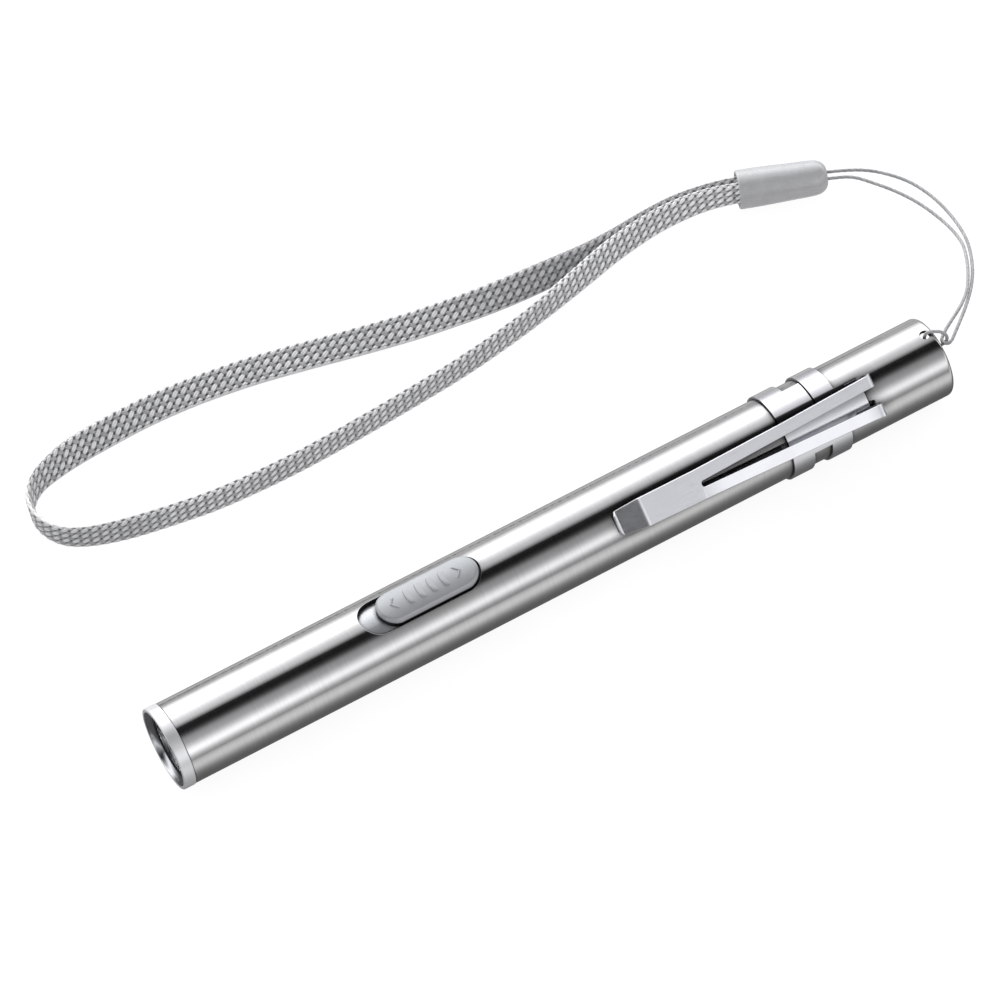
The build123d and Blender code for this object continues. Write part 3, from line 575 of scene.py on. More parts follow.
def revolve(runs, steps):
    """Shell of the closed section that the runs make, turned about the X axis."""
    shell = Shell()
    x, r = np.vstack([points for points, _ in runs]).T
    side = 1.0 if 0.5 * np.sum(x * np.roll(r, -1) - np.roll(x, -1) * r) > 0 else -1.0
    angles = np.linspace(0, 2 * math.pi, steps, endpoint=False)
    for points, normals in runs:
        if normals is None:
            for i, along in enumerate(unit(np.diff(points, axis=0))):
                normal = np.array([along[1], -along[0]]) * side
                shell.grid(turned(points[i:i + 2], angles),
                           turned(np.array([normal, normal]), angles), wrap=True)
        else:
            chord = np.diff(points, axis=0).mean(0)
            outward = np.array([chord[1], -chord[0]]) * side
            if normals.mean(0) @ outward < 0:
                normals = -normals
            shell.grid(turned(points, angles), turned(normals, angles), wrap=True)
    return shell


def mesh_object(name, points, faces, attributes=None):
    """Object from points in mm; attributes are floats per vertex."""
    mesh = bpy.data.meshes.new(name)
    mesh.from_pydata((np.asarray(points) * MM).tolist(), [], faces)
    shade_smooth(mesh)
    for key, values in (attributes or {}).items():
        data = mesh.attributes.new(key, "FLOAT", "POINT").data
        data.foreach_set("value", np.asarray(values, np.float32))
    mesh.update()
    return link_object(name, mesh)


def ring_faces(rings, around, cap=True):
    """Faces between rings of points, with fan caps to two extra points."""
    i, j = np.meshgrid(np.arange(rings - 1), np.arange(around), indexing="ij")
    k = (j + 1) % around
    corners = [i * around + j, i * around + k, (i + 1) * around + k, (i + 1) * around + j]
    faces = np.stack(corners, -1).reshape(-1, 4).tolist()
    if cap:
        last, tip = (rings - 1) * around, rings * around
        faces += [[tip, (q + 1) % around, q] for q in range(around)]
        faces += [[tip + 1, last + q, last + (q + 1) % around] for q in range(around)]
    return faces


def weld(obj, distance=0.004):
    work = bmesh.new()
    work.from_mesh(obj.data)
    bmesh.ops.remove_doubles(work, verts=work.verts, dist=distance * MM)
    bmesh.ops.recalc_face_normals(work, faces=work.faces)
    work.to_mesh(obj.data)
    work.free()
    shade_smooth(obj.data)
    obj.data.update()


def put(obj, slot, body, *stands_for):
    """Give the object its material, tell the frame what it rides on, and hide the parts it stands
    for.
    """
    obj.data.materials.clear()
    obj.data.materials.append(MATERIALS[slot])
    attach(obj, body)
    if stands_for:
        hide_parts(*stands_for)


def second_material(obj, name, chosen):
    """A second material on the faces where chosen(x, z, r) holds at the centre."""
    obj.data.materials.append(MATERIALS[name])
    for face in obj.data.polygons:
        x, y, z = (v / MM for v in face.center)
        if chosen(x, z, math.hypot(y, z)):
            face.material_index = 1


def body_of(part):
    return frame["nodes"][part]["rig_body"]


# ------------------------------------------------------------------ barrel tube
GRID_Y = 0.2  # spacing of the tube's lengthwise lines near the openings
CUT_Y = np.round(np.arange(-5.0, 5.0001, GRID_Y), 4)
RIM_R = 0.75  # rolled edge at the tail
FRONT_EDGE = 0.06


class Opening:
    """A stadium-shaped opening in the tube's top, inside a rectangle of the tube's grid."""

    def __init__(self, x0, x1, half_y, steps, x, straight, radius, edge, rings):
        self.x0, self.x1, self.half_y = x0, x1, half_y
        self.edge, self.rings = edge, rings
        # points round the rectangle, anticlockwise, without the closing point
        self.lines = xs = np.linspace(x0, x1, steps + 1)
        ys = np.round(np.arange(-half_y, half_y + 1e-6, GRID_Y), 4)
        self.frame = np.array(
            [(v, -half_y) for v in xs[:-1]] + [(x1, v) for v in ys[:-1]]
            + [(v, half_y) for v in xs[::-1][:-1]] + [(x0, v) for v in ys[::-1][:-1]])
        # nearest point of the stadium, and its outward direction, for each of them
        middle = np.stack([np.clip(self.frame[:, 0], x - straight, x + straight),
                           np.zeros(len(self.frame))], 1)
        self.outward = unit(self.frame - middle)
        self.outline = middle + self.outward * radius
        self.eased = self.outline + self.outward * edge

    def cut_wall(self, shell):
        """Wall down through the tube, its edge eased on the outer face."""
        wall = np.column_stack([-self.outward, np.zeros(len(self.outward))])
        rows, normals = [], []
        for turn in np.radians(np.linspace(0, 90, 5)):
            plan = self.outline + self.outward * self.edge * (1 - math.sin(turn))
            points, up = on_cylinder(plan, TUBE_R, self.edge * (1 - math.cos(turn)))
            rows.append(points)
            normals.append(up * math.cos(turn) + wall * math.sin(turn))
        shell.grid(np.array(rows), np.array(normals), wrap=True)
        low, _ = on_cylinder(self.outline, BORE_R)
        shell.grid(np.array([rows[-1], low]), np.array([wall, wall]), wrap=True)

    def patch(self, shell, radius, outline, sign):
        """Surface between the outline and the rectangle round it."""
        part = np.linspace(0, 1, self.rings + 1)[:, None, None] ** 1.35
        points, normals = on_cylinder(outline[None] * (1 - part) + self.frame[None] * part, radius)
        shell.grid(points, sign * normals, wrap=True)

    def covers(self, x, y):
        return (x > self.x0) & (x < self.x1) & (np.abs(y) < self.half_y)


def on_cylinder(plan, radius, drop=0.0):
    """(x, y) seen from above, on the upper half of a cylinder; drop moves it to the axis."""
    x, y = plan[..., 0], plan[..., 1]
    z = np.sqrt(np.maximum(radius * radius - y * y, 0))
    normals = np.stack([np.zeros_like(x), y / radius, z / radius], -1)
    return np.stack([x, y, z], -1) - normals * drop, normals


def ring_angles(radius):
    """Angles round the tube: on the CUT_Y lines over the top, even for the rest."""
    top = np.arcsin(CUT_Y / radius)
    return np.r_[top, np.linspace(top[-1], 2 * math.pi + top[0], 141)[1:-1]]


def build_tube():
    shell = Shell()
    openings = (
        Opening(31.0, 62.6, half_y=5.0, steps=60, x=46.8, straight=10.8 - 3.35, radius=3.35,
                edge=0.09, rings=9),  # slot for the slide button
        Opening(140.3, TAIL_X - RIM_R, half_y=1.6, steps=12, x=TAIL_X - 1.62, straight=0.0,
                radius=0.86, edge=0.05, rings=6),  # round hole at the tail
    )
    for opening in openings:
        opening.cut_wall(shell)
    for opening in openings:
        opening.patch(shell, TUBE_R, opening.eased, 1.0)
    for opening in openings:
        opening.patch(shell, BORE_R, opening.outline, -1.0)
    slot, hole = openings
    lines = np.r_[HEAD_X + FRONT_EDGE, np.linspace(4, 30, 14), slot.lines,
                  np.linspace(66, 138, 19), hole.lines]

    def wall(radius, sign):
        angles = ring_angles(radius)
        xs, turns = np.meshgrid(lines, angles, indexing="ij")
        points = np.stack([xs, radius * np.sin(turns), radius * np.cos(turns)], -1)
        normals = np.stack([0 * turns, np.sin(turns), np.cos(turns)], -1) * sign
        mid_x = ((lines[:-1] + lines[1:]) / 2)[:, None]
        mid = np.r_[(angles[:-1] + angles[1:]) / 2, (angles[-1] + angles[0] + 2 * math.pi) / 2]
        mid_y = radius * np.sin(mid)[None, :]
        cut = slot.covers(mid_x, mid_y) | hole.covers(mid_x, mid_y)
        shell.grid(points, normals, wrap=True, mask=~(cut & (np.cos(mid) > 0)[None, :]))
        return angles

    def turn(angles, points, normals):
        shell.grid(turned(np.array(points), angles), turned(np.array(normals), angles), wrap=True)

    outer = wall(TUBE_R, 1.0)
    lip_r = TUBE_R - 1.5
    # rolled tail rim: outer quarter, the flat of the rim, its short inner face
    turn(outer, *arc(TAIL_X - RIM_R, TUBE_R - RIM_R, RIM_R, 90, 0, 14))
    turn(outer, [(TAIL_X, TUBE_R - RIM_R), (TAIL_X - 0.03, TUBE_R - 1.30),
                 (TAIL_X - 0.12, TUBE_R - 1.48)], [(1, 0.0), (0.98, -0.15), (0.75, -0.66)])
    turn(outer, [(TAIL_X - 0.12, TUBE_R - 1.48), (TAIL_X - 0.55, lip_r)], [(0, -1.0), (0, -1.0)])
    # eased edge at the head end
    turn(outer, *arc(HEAD_X + FRONT_EDGE, TUBE_R - FRONT_EDGE, FRONT_EDGE, 90, 180, 4))

    inner = wall(BORE_R, -1.0)
    # back of the tail rim
    turn(inner, [(TAIL_X - RIM_R, BORE_R), (TAIL_X - 0.70, BORE_R - 0.30), (TAIL_X - 0.55, lip_r)],
         [(-0.6, -0.8), (-0.9, -0.3), (-1, 0.0)])
    # ring-shaped face at the head end
    bore_ring = turned(np.array([(HEAD_X + FRONT_EDGE, BORE_R)]), inner)[0]
    outer_ring = turned(np.array([(HEAD_X, TUBE_R - FRONT_EDGE)]), outer)[0]
    shell.grid(np.array([bore_ring, outer_ring]), np.array([-1.0, 0, 0]), wrap=True)

    tube = shell.object("Barrel.Tube")
    put(tube, "stainless_tube", body_of("barrel_tube"), "barrel_tube")
    # painted shade: the cut wall of the slot is drawn near-black
    second_material(tube, "painted_shade_wall", lambda x, z, r: (
        34.0 < x < 60.0 and z > 0 and BORE_R + 0.04 < r < TUBE_R - 0.10))


build_tube()

# ------------------------------------------------------------------ head
bezel = revolve([
    run((0.0, 6.56), (0.0, 6.88)),
    arc(0.22, 6.88, 0.22, 180, 90, 6),
    run((0.22, BEZEL_R), (1.87, BEZEL_R)),
    arc(1.87, BEZEL_R - 0.16, 0.16, 90, 0, 5),
    run((2.03, BEZEL_R - 0.16), (2.03, 6.34), (8.0, 6.34), (8.0, 5.72), (1.02, 5.72),
        (1.20, 5.60), (1.12, 5.62)),
    smooth_run([(1.12, 5.62), (0.62, 6.12), (0.14, 6.44), (0.0, 6.56)], 5),
], 160).object("Head.Bezel")
put(bezel, "satin_bezel", body_of("bezel_ring"), "bezel_ring")
second_material(bezel, "bezel_bore", lambda x, z, r: 0.02 < x < 1.25 and r < 6.52)

window = revolve([
    run((1.32, 0.0), (1.32, 5.55)),
    arc(1.42, 5.55, 0.10, 180, 90, 3),
    run((1.42, 5.65), (2.18, 5.65)),
    arc(2.18, 5.55, 0.10, 90, 0, 3),
    run((2.28, 5.55), (2.28, 0.0)),
], 128).object("Head.LensWindow")
put(window, "clear_lens", body_of("lens_window"), "lens_window")

reflector = revolve([
    run((2.36, 5.22), (2.36, 5.66), (3.1, 5.66), (3.3, 5.2), (7.6, 3.3), (8.08, 3.3), (8.08, 1.36)),
    smooth_run([(8.08, 1.36), (7.5, 2.05), (6.6, 2.75), (5.6, 3.45), (4.6, 4.05), (3.5, 4.68),
                (2.36, 5.22)], 8),
], 128).object("Head.Reflector")
put(reflector, "reflector_chrome", body_of("reflector"), "reflector")

# ------------------------------------------------------------------ slide button
CROWN_R, UNDER_R = 7.78, 6.31  # radii of the button's top and underside about the barrel axis
EDGE_ROUND = 0.55
RIDGE_XS = (44.5, 46.6, 48.7, 50.85)
ARROWS = ((41.7, 1.0), (54.2, -1.0))  # tip x, direction in which the arms trail


def button_relief(x, y):
    """Height of the crescent ridges and the two arrowheads on the button's top."""
    height = np.zeros_like(x)
    for ridge_x in RIDGE_XS:
        # steep on the head side, eased on the other
        dist = x - ridge_x + 0.12 - 0.30 * (y / 1.5) ** 2
        rise = np.clip((dist + 0.13) / 0.13, 0, 1)
        fall = np.clip(1 - dist / 0.85, 0, 1)
        fade = np.clip(1 - (y / 1.55) ** 2, 0, 1) ** 0.6
        profile = np.where(dist < 0, rise * rise * (3 - 2 * rise), fall)
        height = np.maximum(height, 0.27 * profile * fade)
    for tip_x, direction in ARROWS:
        dist = (x - tip_x) * direction - 0.78 * np.abs(y)
        ends = np.clip((1.12 - np.abs(y)) / 0.2, 0, 1)
        arrow = np.clip(1 - (dist / 0.22) ** 2, 0, None) * ends
        height = np.maximum(height, 0.17 * arrow ** 0.7)
    return height


def build_button():
    half, around = (BUTTON_X1 - BUTTON_X0) / 2 - BUTTON_R, 520
    bow = math.pi * BUTTON_R
    dist = (np.arange(around) + 0.5) / around * (4 * half + 2 * math.pi * BUTTON_R)
    # centre of curvature and direction round the stadium: side, bow, side, bow
    parts = [dist < 2 * half, dist < 2 * half + bow, dist < 4 * half + bow]
    centre = np.select(parts, [half - dist, -half, -half + (dist - 2 * half - bow)], half)
    angle = np.select(parts, [math.pi / 2, math.pi / 2 + (dist - 2 * half) / BUTTON_R,
                              1.5 * math.pi],
                      1.5 * math.pi + (dist - 4 * half - bow) / BUTTON_R)

    def plan(inset):
        return (BUTTON_X + centre + np.cos(angle) * (BUTTON_R - inset),
                np.sin(angle) * (BUTTON_R - inset))

    def under(inset):
        x, y = plan(inset)
        return np.stack([x, y, np.sqrt(UNDER_R * UNDER_R - y * y)], 1)

    top = []
    for inset in np.r_[EDGE_ROUND * (1 - np.cos(np.radians(np.linspace(0, 90, 11)))),
                       np.arange(0.61, BUTTON_R - 0.05, 0.07), BUTTON_R]:
        x, y = plan(inset)
        z = np.sqrt(CROWN_R * CROWN_R - y * y)
        if inset < EDGE_ROUND:
            rounding = math.sqrt(max(EDGE_ROUND ** 2 - (EDGE_ROUND - inset) ** 2, 0))
            z = z - (EDGE_ROUND - rounding)
        if inset > 0.5:
            z = z + button_relief(x, y)
        top.append(np.stack([x, y, z], 1))
    foot = under(0.0)
    walls = [top[0] * (1 - part) + foot * part for part in (0.25, 0.5, 0.75, 1.0)]
    rings = top[::-1] + walls + [under(inset) for inset in np.linspace(0.1, BUTTON_R, 14)]
    button = mesh_object("Switch.Button", np.vstack(rings),
                         ring_faces(len(rings), around, cap=False))
    weld(button)
    button.data.set_sharp_from_angle(angle=math.radians(50))
    put(button, "grey_button", body_of("slide_button"), "slide_button")


def build_stem():
    """Stadium-shaped stem below the button, towards the barrel axis."""
    shell, half = Shell(), 3.0
    angles = np.linspace(0, 2 * math.pi, 64, endpoint=False)
    x = BUTTON_X + np.where(np.cos(angles) > 0, half, -half) + np.cos(angles)
    low, high = (np.stack([x, np.sin(angles), np.full(64, z)], 1) for z in (3.4, 6.45))
    outward = np.stack([np.cos(angles), np.sin(angles), 0 * angles], 1)
    shell.grid(np.array([low, high]), np.array([outward, outward]), wrap=True)
    for ring, facing in ((low, -1.0), (high, 1.0)):
        middle = np.stack([np.clip(ring[:, 0], BUTTON_X - half, BUTTON_X + half), 0 * angles,
                           ring[:, 2]], 1)
        shell.grid(np.array([ring, middle]), np.array([0, 0, facing]), wrap=True)
    put(shell.object("Switch.ButtonStem"), "grey_button", body_of("slide_button"))


build_button()
build_stem()

# ------------------------------------------------------------------ pocket clip, arm and return bend
SHEET = 0.45  # thickness of the sheet
CHAMFER = 0.075
BASE_H, BEND_R = 7.255, 0.95  # height of the base from the barrel axis, radius of the bend
ARM_H = BASE_H + 2 * BEND_R
KNEE_X, KNEE_H = 85.15, 8.62
SLOT_HALF, SLOT_END_X = 0.52, 96.2  # half width and centre of the slot's round end
ARM_REACH = np.array([  # x, reach of the arm on its upper (+Y) side, reach on its lower side
    (TIP_X - 0.5, 2.05, 1.55), (TIP_X + 1.2, 2.7, 2.05), (84.9, 2.8, 2.15),
    (95.5, 2.75, 2.4), (111.5, 3.05, 3.05), (BEND_X + 1, 3.65, 3.65),
])


def fillet_path(points, radii, steps):
    """Polyline of (x, height) with rounded corners."""
    points = [np.array(p, float) for p in points]
    out = [points[0]]
    for before, corner, after, radius in zip(points, points[1:], points[2:], radii):
        back = (before - corner) / np.linalg.norm(before - corner)
        ahead = (after - corner) / np.linalg.norm(after - corner)
        half = math.acos(max(-1, min(1, float(back @ ahead)))) / 2
        reach = radius / math.tan(half)
        bisector = (back + ahead) / np.linalg.norm(back + ahead)
        centre = corner + bisector * radius / math.sin(half)
        start, end = corner + back * reach - centre, corner + ahead * reach - centre
        angle = math.atan2(start[1], start[0])
        sweep = (math.atan2(end[1], end[0]) - angle + math.pi) % (2 * math.pi) - math.pi
        turns = [angle + sweep * k / steps for k in range(steps + 1)]
        out += [centre + radius * np.array([math.cos(a), math.sin(a)]) for a in turns]
    out.append(points[-1])
    return np.array(out)


def clip_stations():
    """Middle line (x, height) of the arm and the bend, and which stations are on the arm."""
    arm = fillet_path([(TIP_X - 0.05, 7.47), (TIP_X + 0.38, 7.30), (KNEE_X, KNEE_H),
                       (BEND_X, ARM_H)], [0.25, 2.3], 12)
    # stations on the straight run, dense where the slot starts
    xs = np.r_[np.linspace(86.0, 95.3, 12), SLOT_END_X - SLOT_HALF,
               SLOT_END_X - SLOT_HALF * np.cos(np.radians(np.linspace(14, 90, 12))),
               np.linspace(97.4, BEND_X - 0.3, 20)]
    straight = [(x, KNEE_H + (x - KNEE_X) / (BEND_X - KNEE_X) * (ARM_H - KNEE_H))
                for x in xs if x > arm[-2][0] + 0.2]
    arm = np.vstack([arm[:-1], straight, arm[-1:]])
    angles = np.radians(np.linspace(90, -90, 19))[1:]
    bend = np.stack([BEND_X + BEND_R * np.cos(angles),
                     BASE_H + BEND_R + BEND_R * np.sin(angles)], 1)
    path = np.vstack([arm, bend, [(BEND_X - 0.9, BASE_H + 0.02)]])
    return path, np.arange(len(path)) < len(arm)


def build_clip_arm():
    path, on_arm = clip_stations()
    count, xs = len(path), path[:, 0]
    tangent = unit(np.gradient(path, axis=0))
    normal = np.stack([-tangent[:, 1], tangent[:, 0]], 1)
    # rounded corners at the tip
    from_tip = np.clip(xs - (TIP_X - 0.05), 0, 0.5)
    corner = np.where(on_arm, 0.5 - np.sqrt(np.maximum(0.25 - (0.5 - from_tip) ** 2, 0)), 0)
    upper, lower = (np.interp(np.where(on_arm, xs, BEND_X), ARM_REACH[:, 0], column) - corner
                    for column in ARM_REACH.T[1:])
    # half width of the slot between the two legs, widening to the bend
    slope = (1.6 - SLOT_HALF) / (BEND_X + 2 - SLOT_END_X)
    gap = np.zeros(count)
    slot = on_arm & (xs >= SLOT_END_X - SLOT_HALF)
    round_end = np.sqrt(np.maximum(SLOT_HALF ** 2 - (SLOT_END_X - xs[slot]) ** 2, 0))
    gap[slot] = np.where(xs[slot] < SLOT_END_X, round_end,
                         SLOT_HALF + (xs[slot] - SLOT_END_X) * slope)
    gap[~on_arm] = SLOT_HALF + (BEND_X - SLOT_END_X) * slope
    first_open = int(np.argmax(gap > 0.05))
    gap[:first_open] = 0.0
    tilt = np.clip((xs - 94.5) / 6.0, 0, 1) * np.clip((BEND_X - xs) / 3.0, 0, 1)
    tilt = np.where(on_arm, tilt, 0.0)

    half = SHEET / 2
    points, faces, dark = [], [], []
    for side, reach in ((1, upper), (-1, lower)):
        for i in range(count):
            ease = min(CHAMFER, gap[i] * 0.4)
            section = (  # distance from the middle line, height in the sheet
                (reach[i] - CHAMFER, half), (gap[i] + ease, half),
                (gap[i], half - ease), (gap[i], -half + ease),
                (gap[i] + ease, -half), (reach[i] - CHAMFER, -half),
                (reach[i], -half + CHAMFER), (reach[i], half - CHAMFER))
            for across, level in section:
                x, height = path[i] + normal[i] * level
                if side < 0:
                    # the lower leg rolls off a little towards its outer edge
                    height -= 0.13 * tilt[i] * max(across - gap[i], 0)
                points.append(np.array([x, 0, 0]) + across * side * CLIP_SIDE
                              + height * CLIP_UP)
    for start in (0, count * 8):
        for i in range(count - 1):
            here, ahead = start + i * 8, start + (i + 1) * 8
            for k in range(8):
                # the legs join, without inner walls, until the slot opens
                if k in (1, 2, 3) and i + 1 < first_open:
                    continue
                # the slot's inner walls take the near-black painted shade
                if k in (2, 3):
                    dark.append(len(faces))
                faces.append([here + k, here + (k + 1) % 8, ahead + (k + 1) % 8, ahead + k])
        faces.append([start + k for k in (0, 7, 6, 5, 4, 1)])
        faces.append([start + (count - 1) * 8 + k for k in range(8)])
    arm = mesh_object("Clip.Arm", points, faces)
    for i in dark:
        arm.data.polygons[i].material_index = 1
    weld(arm, 0.0015)
    arm.data.set_sharp_from_angle(angle=math.radians(28))
    for name in ("clip_steel", "painted_shade_wall"):
        arm.data.materials.append(MATERIALS[name])
    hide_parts("clip_arm")
    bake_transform(arm)


build_clip_arm()

# ------------------------------------------------------------------ cords
ROPE_R, ROPE_PITCH, STRANDS = 0.29, 1.15, 3
GROOVE_DEPTH = 0.10  # share of the radius
ROPE_STEP, ROPE_AROUND = 0.07, 24

# the sleeve's axis: the strap enters at the mouth, the cord at the tip
SLEEVE_MOUTH, SLEEVE_TIP, SLEEVE_Z = np.array([136.2, 49.0]), np.array([150.6, 43.5]), -4.0
SLEEVE_L = float(np.linalg.norm(SLEEVE_TIP - SLEEVE_MOUTH))
SLEEVE_AXIS = (SLEEVE_TIP - SLEEVE_MOUTH) / SLEEVE_L
SLEEVE_SIDE = np.array([-SLEEVE_AXIS[1], SLEEVE_AXIS[0]])
HITCH_X, HITCH_Y = 145.2, -1.5


def in_sleeve(along, across, z=SLEEVE_Z):
    x, y = SLEEVE_MOUTH + SLEEVE_AXIS * along + SLEEVE_SIDE * across
    return (x, y, z)


def near_hitch(along, across, z):
    return (HITCH_X + 0.80 * along - 0.60 * across, HITCH_Y + 0.60 * along + 0.80 * across, z)


def rope(name, points, body, part):
    """Twisted cord along a curve through the points."""
    line, dist = resample(catmull(points, 16), ROPE_STEP)
    line = blur(line, 3.0)
    tangent = unit(np.gradient(line, axis=0))
    # a frame carried along the line without twist
    across = np.cross(tangent[0], [0.3, 0.2, 1.0])
    across /= np.linalg.norm(across)
    first = np.zeros_like(tangent)
    for i, along in enumerate(tangent):
        across = across - along * (across @ along)
        across /= np.linalg.norm(across)
        first[i] = across
    second = np.cross(tangent, first)
    around = np.linspace(0, 2 * math.pi, ROPE_AROUND, endpoint=False)
    twist = 2 * math.pi * dist[:, None] / (ROPE_PITCH * STRANDS)
    groove = (0.5 - 0.5 * np.cos(STRANDS * (around[None, :] - twist))) ** 2.2
    radius = ROPE_R * (1.0 - GROOVE_DEPTH * groove) * (1 + 0.02 * np.sin(dist * 7.3))[:, None]
    circle = (np.cos(around)[None, :, None] * first[:, None]
              + np.sin(around)[None, :, None] * second[:, None])
    rings = line[:, None] + radius[..., None] * circle
    cord = mesh_object(name, np.vstack([rings.reshape(-1, 3), line[:1], line[-1:]]),
                       ring_faces(len(line), ROPE_AROUND), {"groove": np.r_[groove.ravel(), 0, 0]})
    put(cord, "cord_thread", body, part)


# middle line (x, y, z) from the sleeve to the hitch, round it, and back
LOOP_OUTER = [
    in_sleeve(9.0, 0.62), in_sleeve(SLEEVE_L + 0.4, 0.72, -3.95),
    (156.3, 41.2, -3.85), (159.0, 38.6, -3.75), (161.4, 34.8, -3.5), (162.65, 30.6, -3.1),
    (163.05, 26.4, -2.6), (162.65, 21.2, -1.7), (161.75, 17.4, -0.9), (160.3, 14.0, -0.1),
    (158.1, 10.2, 1.0), (155.3, 6.6, 2.2),
    near_hitch(8.0, -0.35, 3.6), near_hitch(4.6, -0.65, 4.5), near_hitch(2.0, -0.8, 4.9),
]
LOOP_TURN = [
    near_hitch(0.8 * math.cos(math.radians(a)), 0.8 * math.sin(math.radians(a)), 5.0)
    for a in (-90, -135, 180, 135, 90)
]
LOOP_INNER = [
    near_hitch(2.0, 0.8, 4.95), near_hitch(4.6, 0.6, 4.65), near_hitch(8.0, 0.45, 3.9),
    (154.5, 6.55, 2.7), (157.3, 10.4, 1.5), (159.5, 14.3, 0.1), (160.75, 17.3, -0.9),
    (161.3, 20.8, -1.8), (161.2, 24.8, -2.6), (160.3, 29.6, -3.2), (158.7, 34.0, -3.7),
    (156.6, 37.9, -4.1), (154.2, 41.0, -4.15),
    in_sleeve(SLEEVE_L + 0.4, -0.62, -4.05), in_sleeve(9.0, -0.62),
]
HITCH = [
    (142.05, -0.25, 4.75), (141.86, -0.05, 5.6), (141.9, 0.0, 6.7), (142.3, -0.1, 7.42),
    (143.3, -0.5, 7.5), (144.4, -1.05, 7.15), (HITCH_X, HITCH_Y, 6.0), (HITCH_X, HITCH_Y, 4.8),
    (144.5, -1.2, 3.8), (143.4, -0.85, 3.7), (142.75, -0.62, 4.05),
]
rope("Cord.Loop", LOOP_OUTER + LOOP_TURN + LOOP_INNER, "strap", "cord_loop")
rope("Cord.Hitch", HITCH, body_of("cord_hitch"), "cord_hitch")

# ------------------------------------------------------------------ sleeve
sleeve = revolve([
    run((0.06, 2.84), (0.0, 2.90), (0.0, 3.02)),
    smooth_run([(0.0, 3.02), (0.03, 3.14), (0.12, 3.21), (0.28, 3.25)], 5),
    smooth_run([(0.28, 3.25), (4.0, 3.23), (8.0, 3.10), (SLEEVE_L - 2.4, 2.92),
                (SLEEVE_L - 1.5, 2.78), (SLEEVE_L - 0.8, 2.47), (SLEEVE_L - 0.28, 2.0),
                (SLEEVE_L - 0.05, 1.6), (SLEEVE_L, 1.42)], 10),
    run((SLEEVE_L, 1.42), (SLEEVE_L - 0.04, 1.32), (SLEEVE_L - 1.0, 1.30), (SLEEVE_L - 1.4, 2.05),
        (SLEEVE_L - 5.0, 2.78), (0.25, 2.80), (0.06, 2.84)),
], 144)
SLEEVE_FAT = 1.035  # scale across the axis
sleeve.transform((*SLEEVE_MOUTH, SLEEVE_Z), (*SLEEVE_AXIS, 0), (*(SLEEVE_SIDE * SLEEVE_FAT), 0),
                 (0, 0, SLEEVE_FAT))
put(sleeve.object("Strap.Sleeve"), "sleeve_plastic", "strap", "strap_sleeve")

# ------------------------------------------------------------------ wrist strap
STRAP_PLAN = [  # (x, y) of the band's middle line, from the sleeve round the loop and back
    in_sleeve(5.0, -0.66)[:2], in_sleeve(1.5, -0.68)[:2],
    (133.6, 49.25), (130.7, 50.2), (127.05, 50.9), (122.5, 51.15), (117.9, 50.75), (111.9, 49.75),
    (106.0, 48.2), (99.0, 46.35), (90.0, 44.35), (79.0, 42.55), (69.0, 41.58), (56.32, 40.62),
    (46.8, 40.2), (37.5, 40.3), (30.6, 40.73), (25.12, 41.55), (19.8, 42.5), (14.75, 43.65),
    (9.75, 45.3), (6.4, 47.36), (4.5, 50.2), (3.8, 53.4), (4.7, 56.6), (7.0, 59.0), (10.8, 60.6),
    (15.6, 61.8), (21.7, 62.5), (27.6, 62.9), (33.2, 62.85), (38.95, 62.45), (47.8, 61.2),
    (56.6, 59.3), (65.2, 57.2), (75.3, 54.9), (80.95, 53.9), (87.9, 52.75), (95.0, 51.9),
    (101.0, 51.45), (107.0, 51.1), (113.0, 51.25), (119.0, 51.85), (125.0, 52.1), (129.5, 51.5),
    (133.5, 50.5),
    in_sleeve(1.5, 0.68)[:2], in_sleeve(5.0, 0.66)[:2],
]
# (x, y, lean from upright in degrees, outward positive), on the near side and the far side
NEAR_LEAN = [
    (134, 49.2, -4), (126, 51.0, -14), (118, 50.7, -20), (110, 49.2, -20), (100, 46.6, -11),
    (94, 45.2, -6), (69, 41.6, -4), (37, 40.3, -4), (15, 43.6, -4), (6.6, 47.3, -2),
]
FAR_LEAN = [
    (4.7, 56.6, 5), (7.0, 59.0, 12), (10.8, 60.6, 25), (15.6, 61.8, 42), (22, 62.5, 56),
    (33, 62.85, 66), (47.8, 61.2, 70), (60, 58.5, 70), (81, 53.9, 66), (91, 52.4, 54),
    (99, 51.6, 40), (106, 51.1, 27), (114, 51.3, 21), (126, 52.1, 14), (134, 50.4, 4),
]
HALF_W, HALF_T = 5.0 / 2, 1.15 / 2  # half width and half thickness of the band
FLAT = HALF_W - HALF_T  # half width of the flat faces, between the round edges
STRAP_MIDDLE = np.array([66.0, 51.5, 0.0])  # a point inside the loop
BRAID_PITCH, BRAID_ROW = 1.63, 1.38
BRAID_ANGLE = math.radians(38)


def strap_lean(plan, dist, bend):
    """Lean from upright in radians at each point of the line; bend is the far turn's index."""
    index = np.arange(len(dist))
    keys = [(0.0, 0.0)]
    for table, first, last in ((NEAR_LEAN, 0, bend), (FAR_LEAN, bend, len(dist))):
        for x, y, lean in table:
            away = np.linalg.norm(plan - np.array([x, y]), axis=1)
            away = np.where((index >= first) & (index < last), away, 1e9)
            keys.append((dist[int(np.argmin(away))], lean))
    keys.append((dist[-1], 0.0))
    return np.radians(blur(np.interp(dist, *zip(*keys)), 20.0))


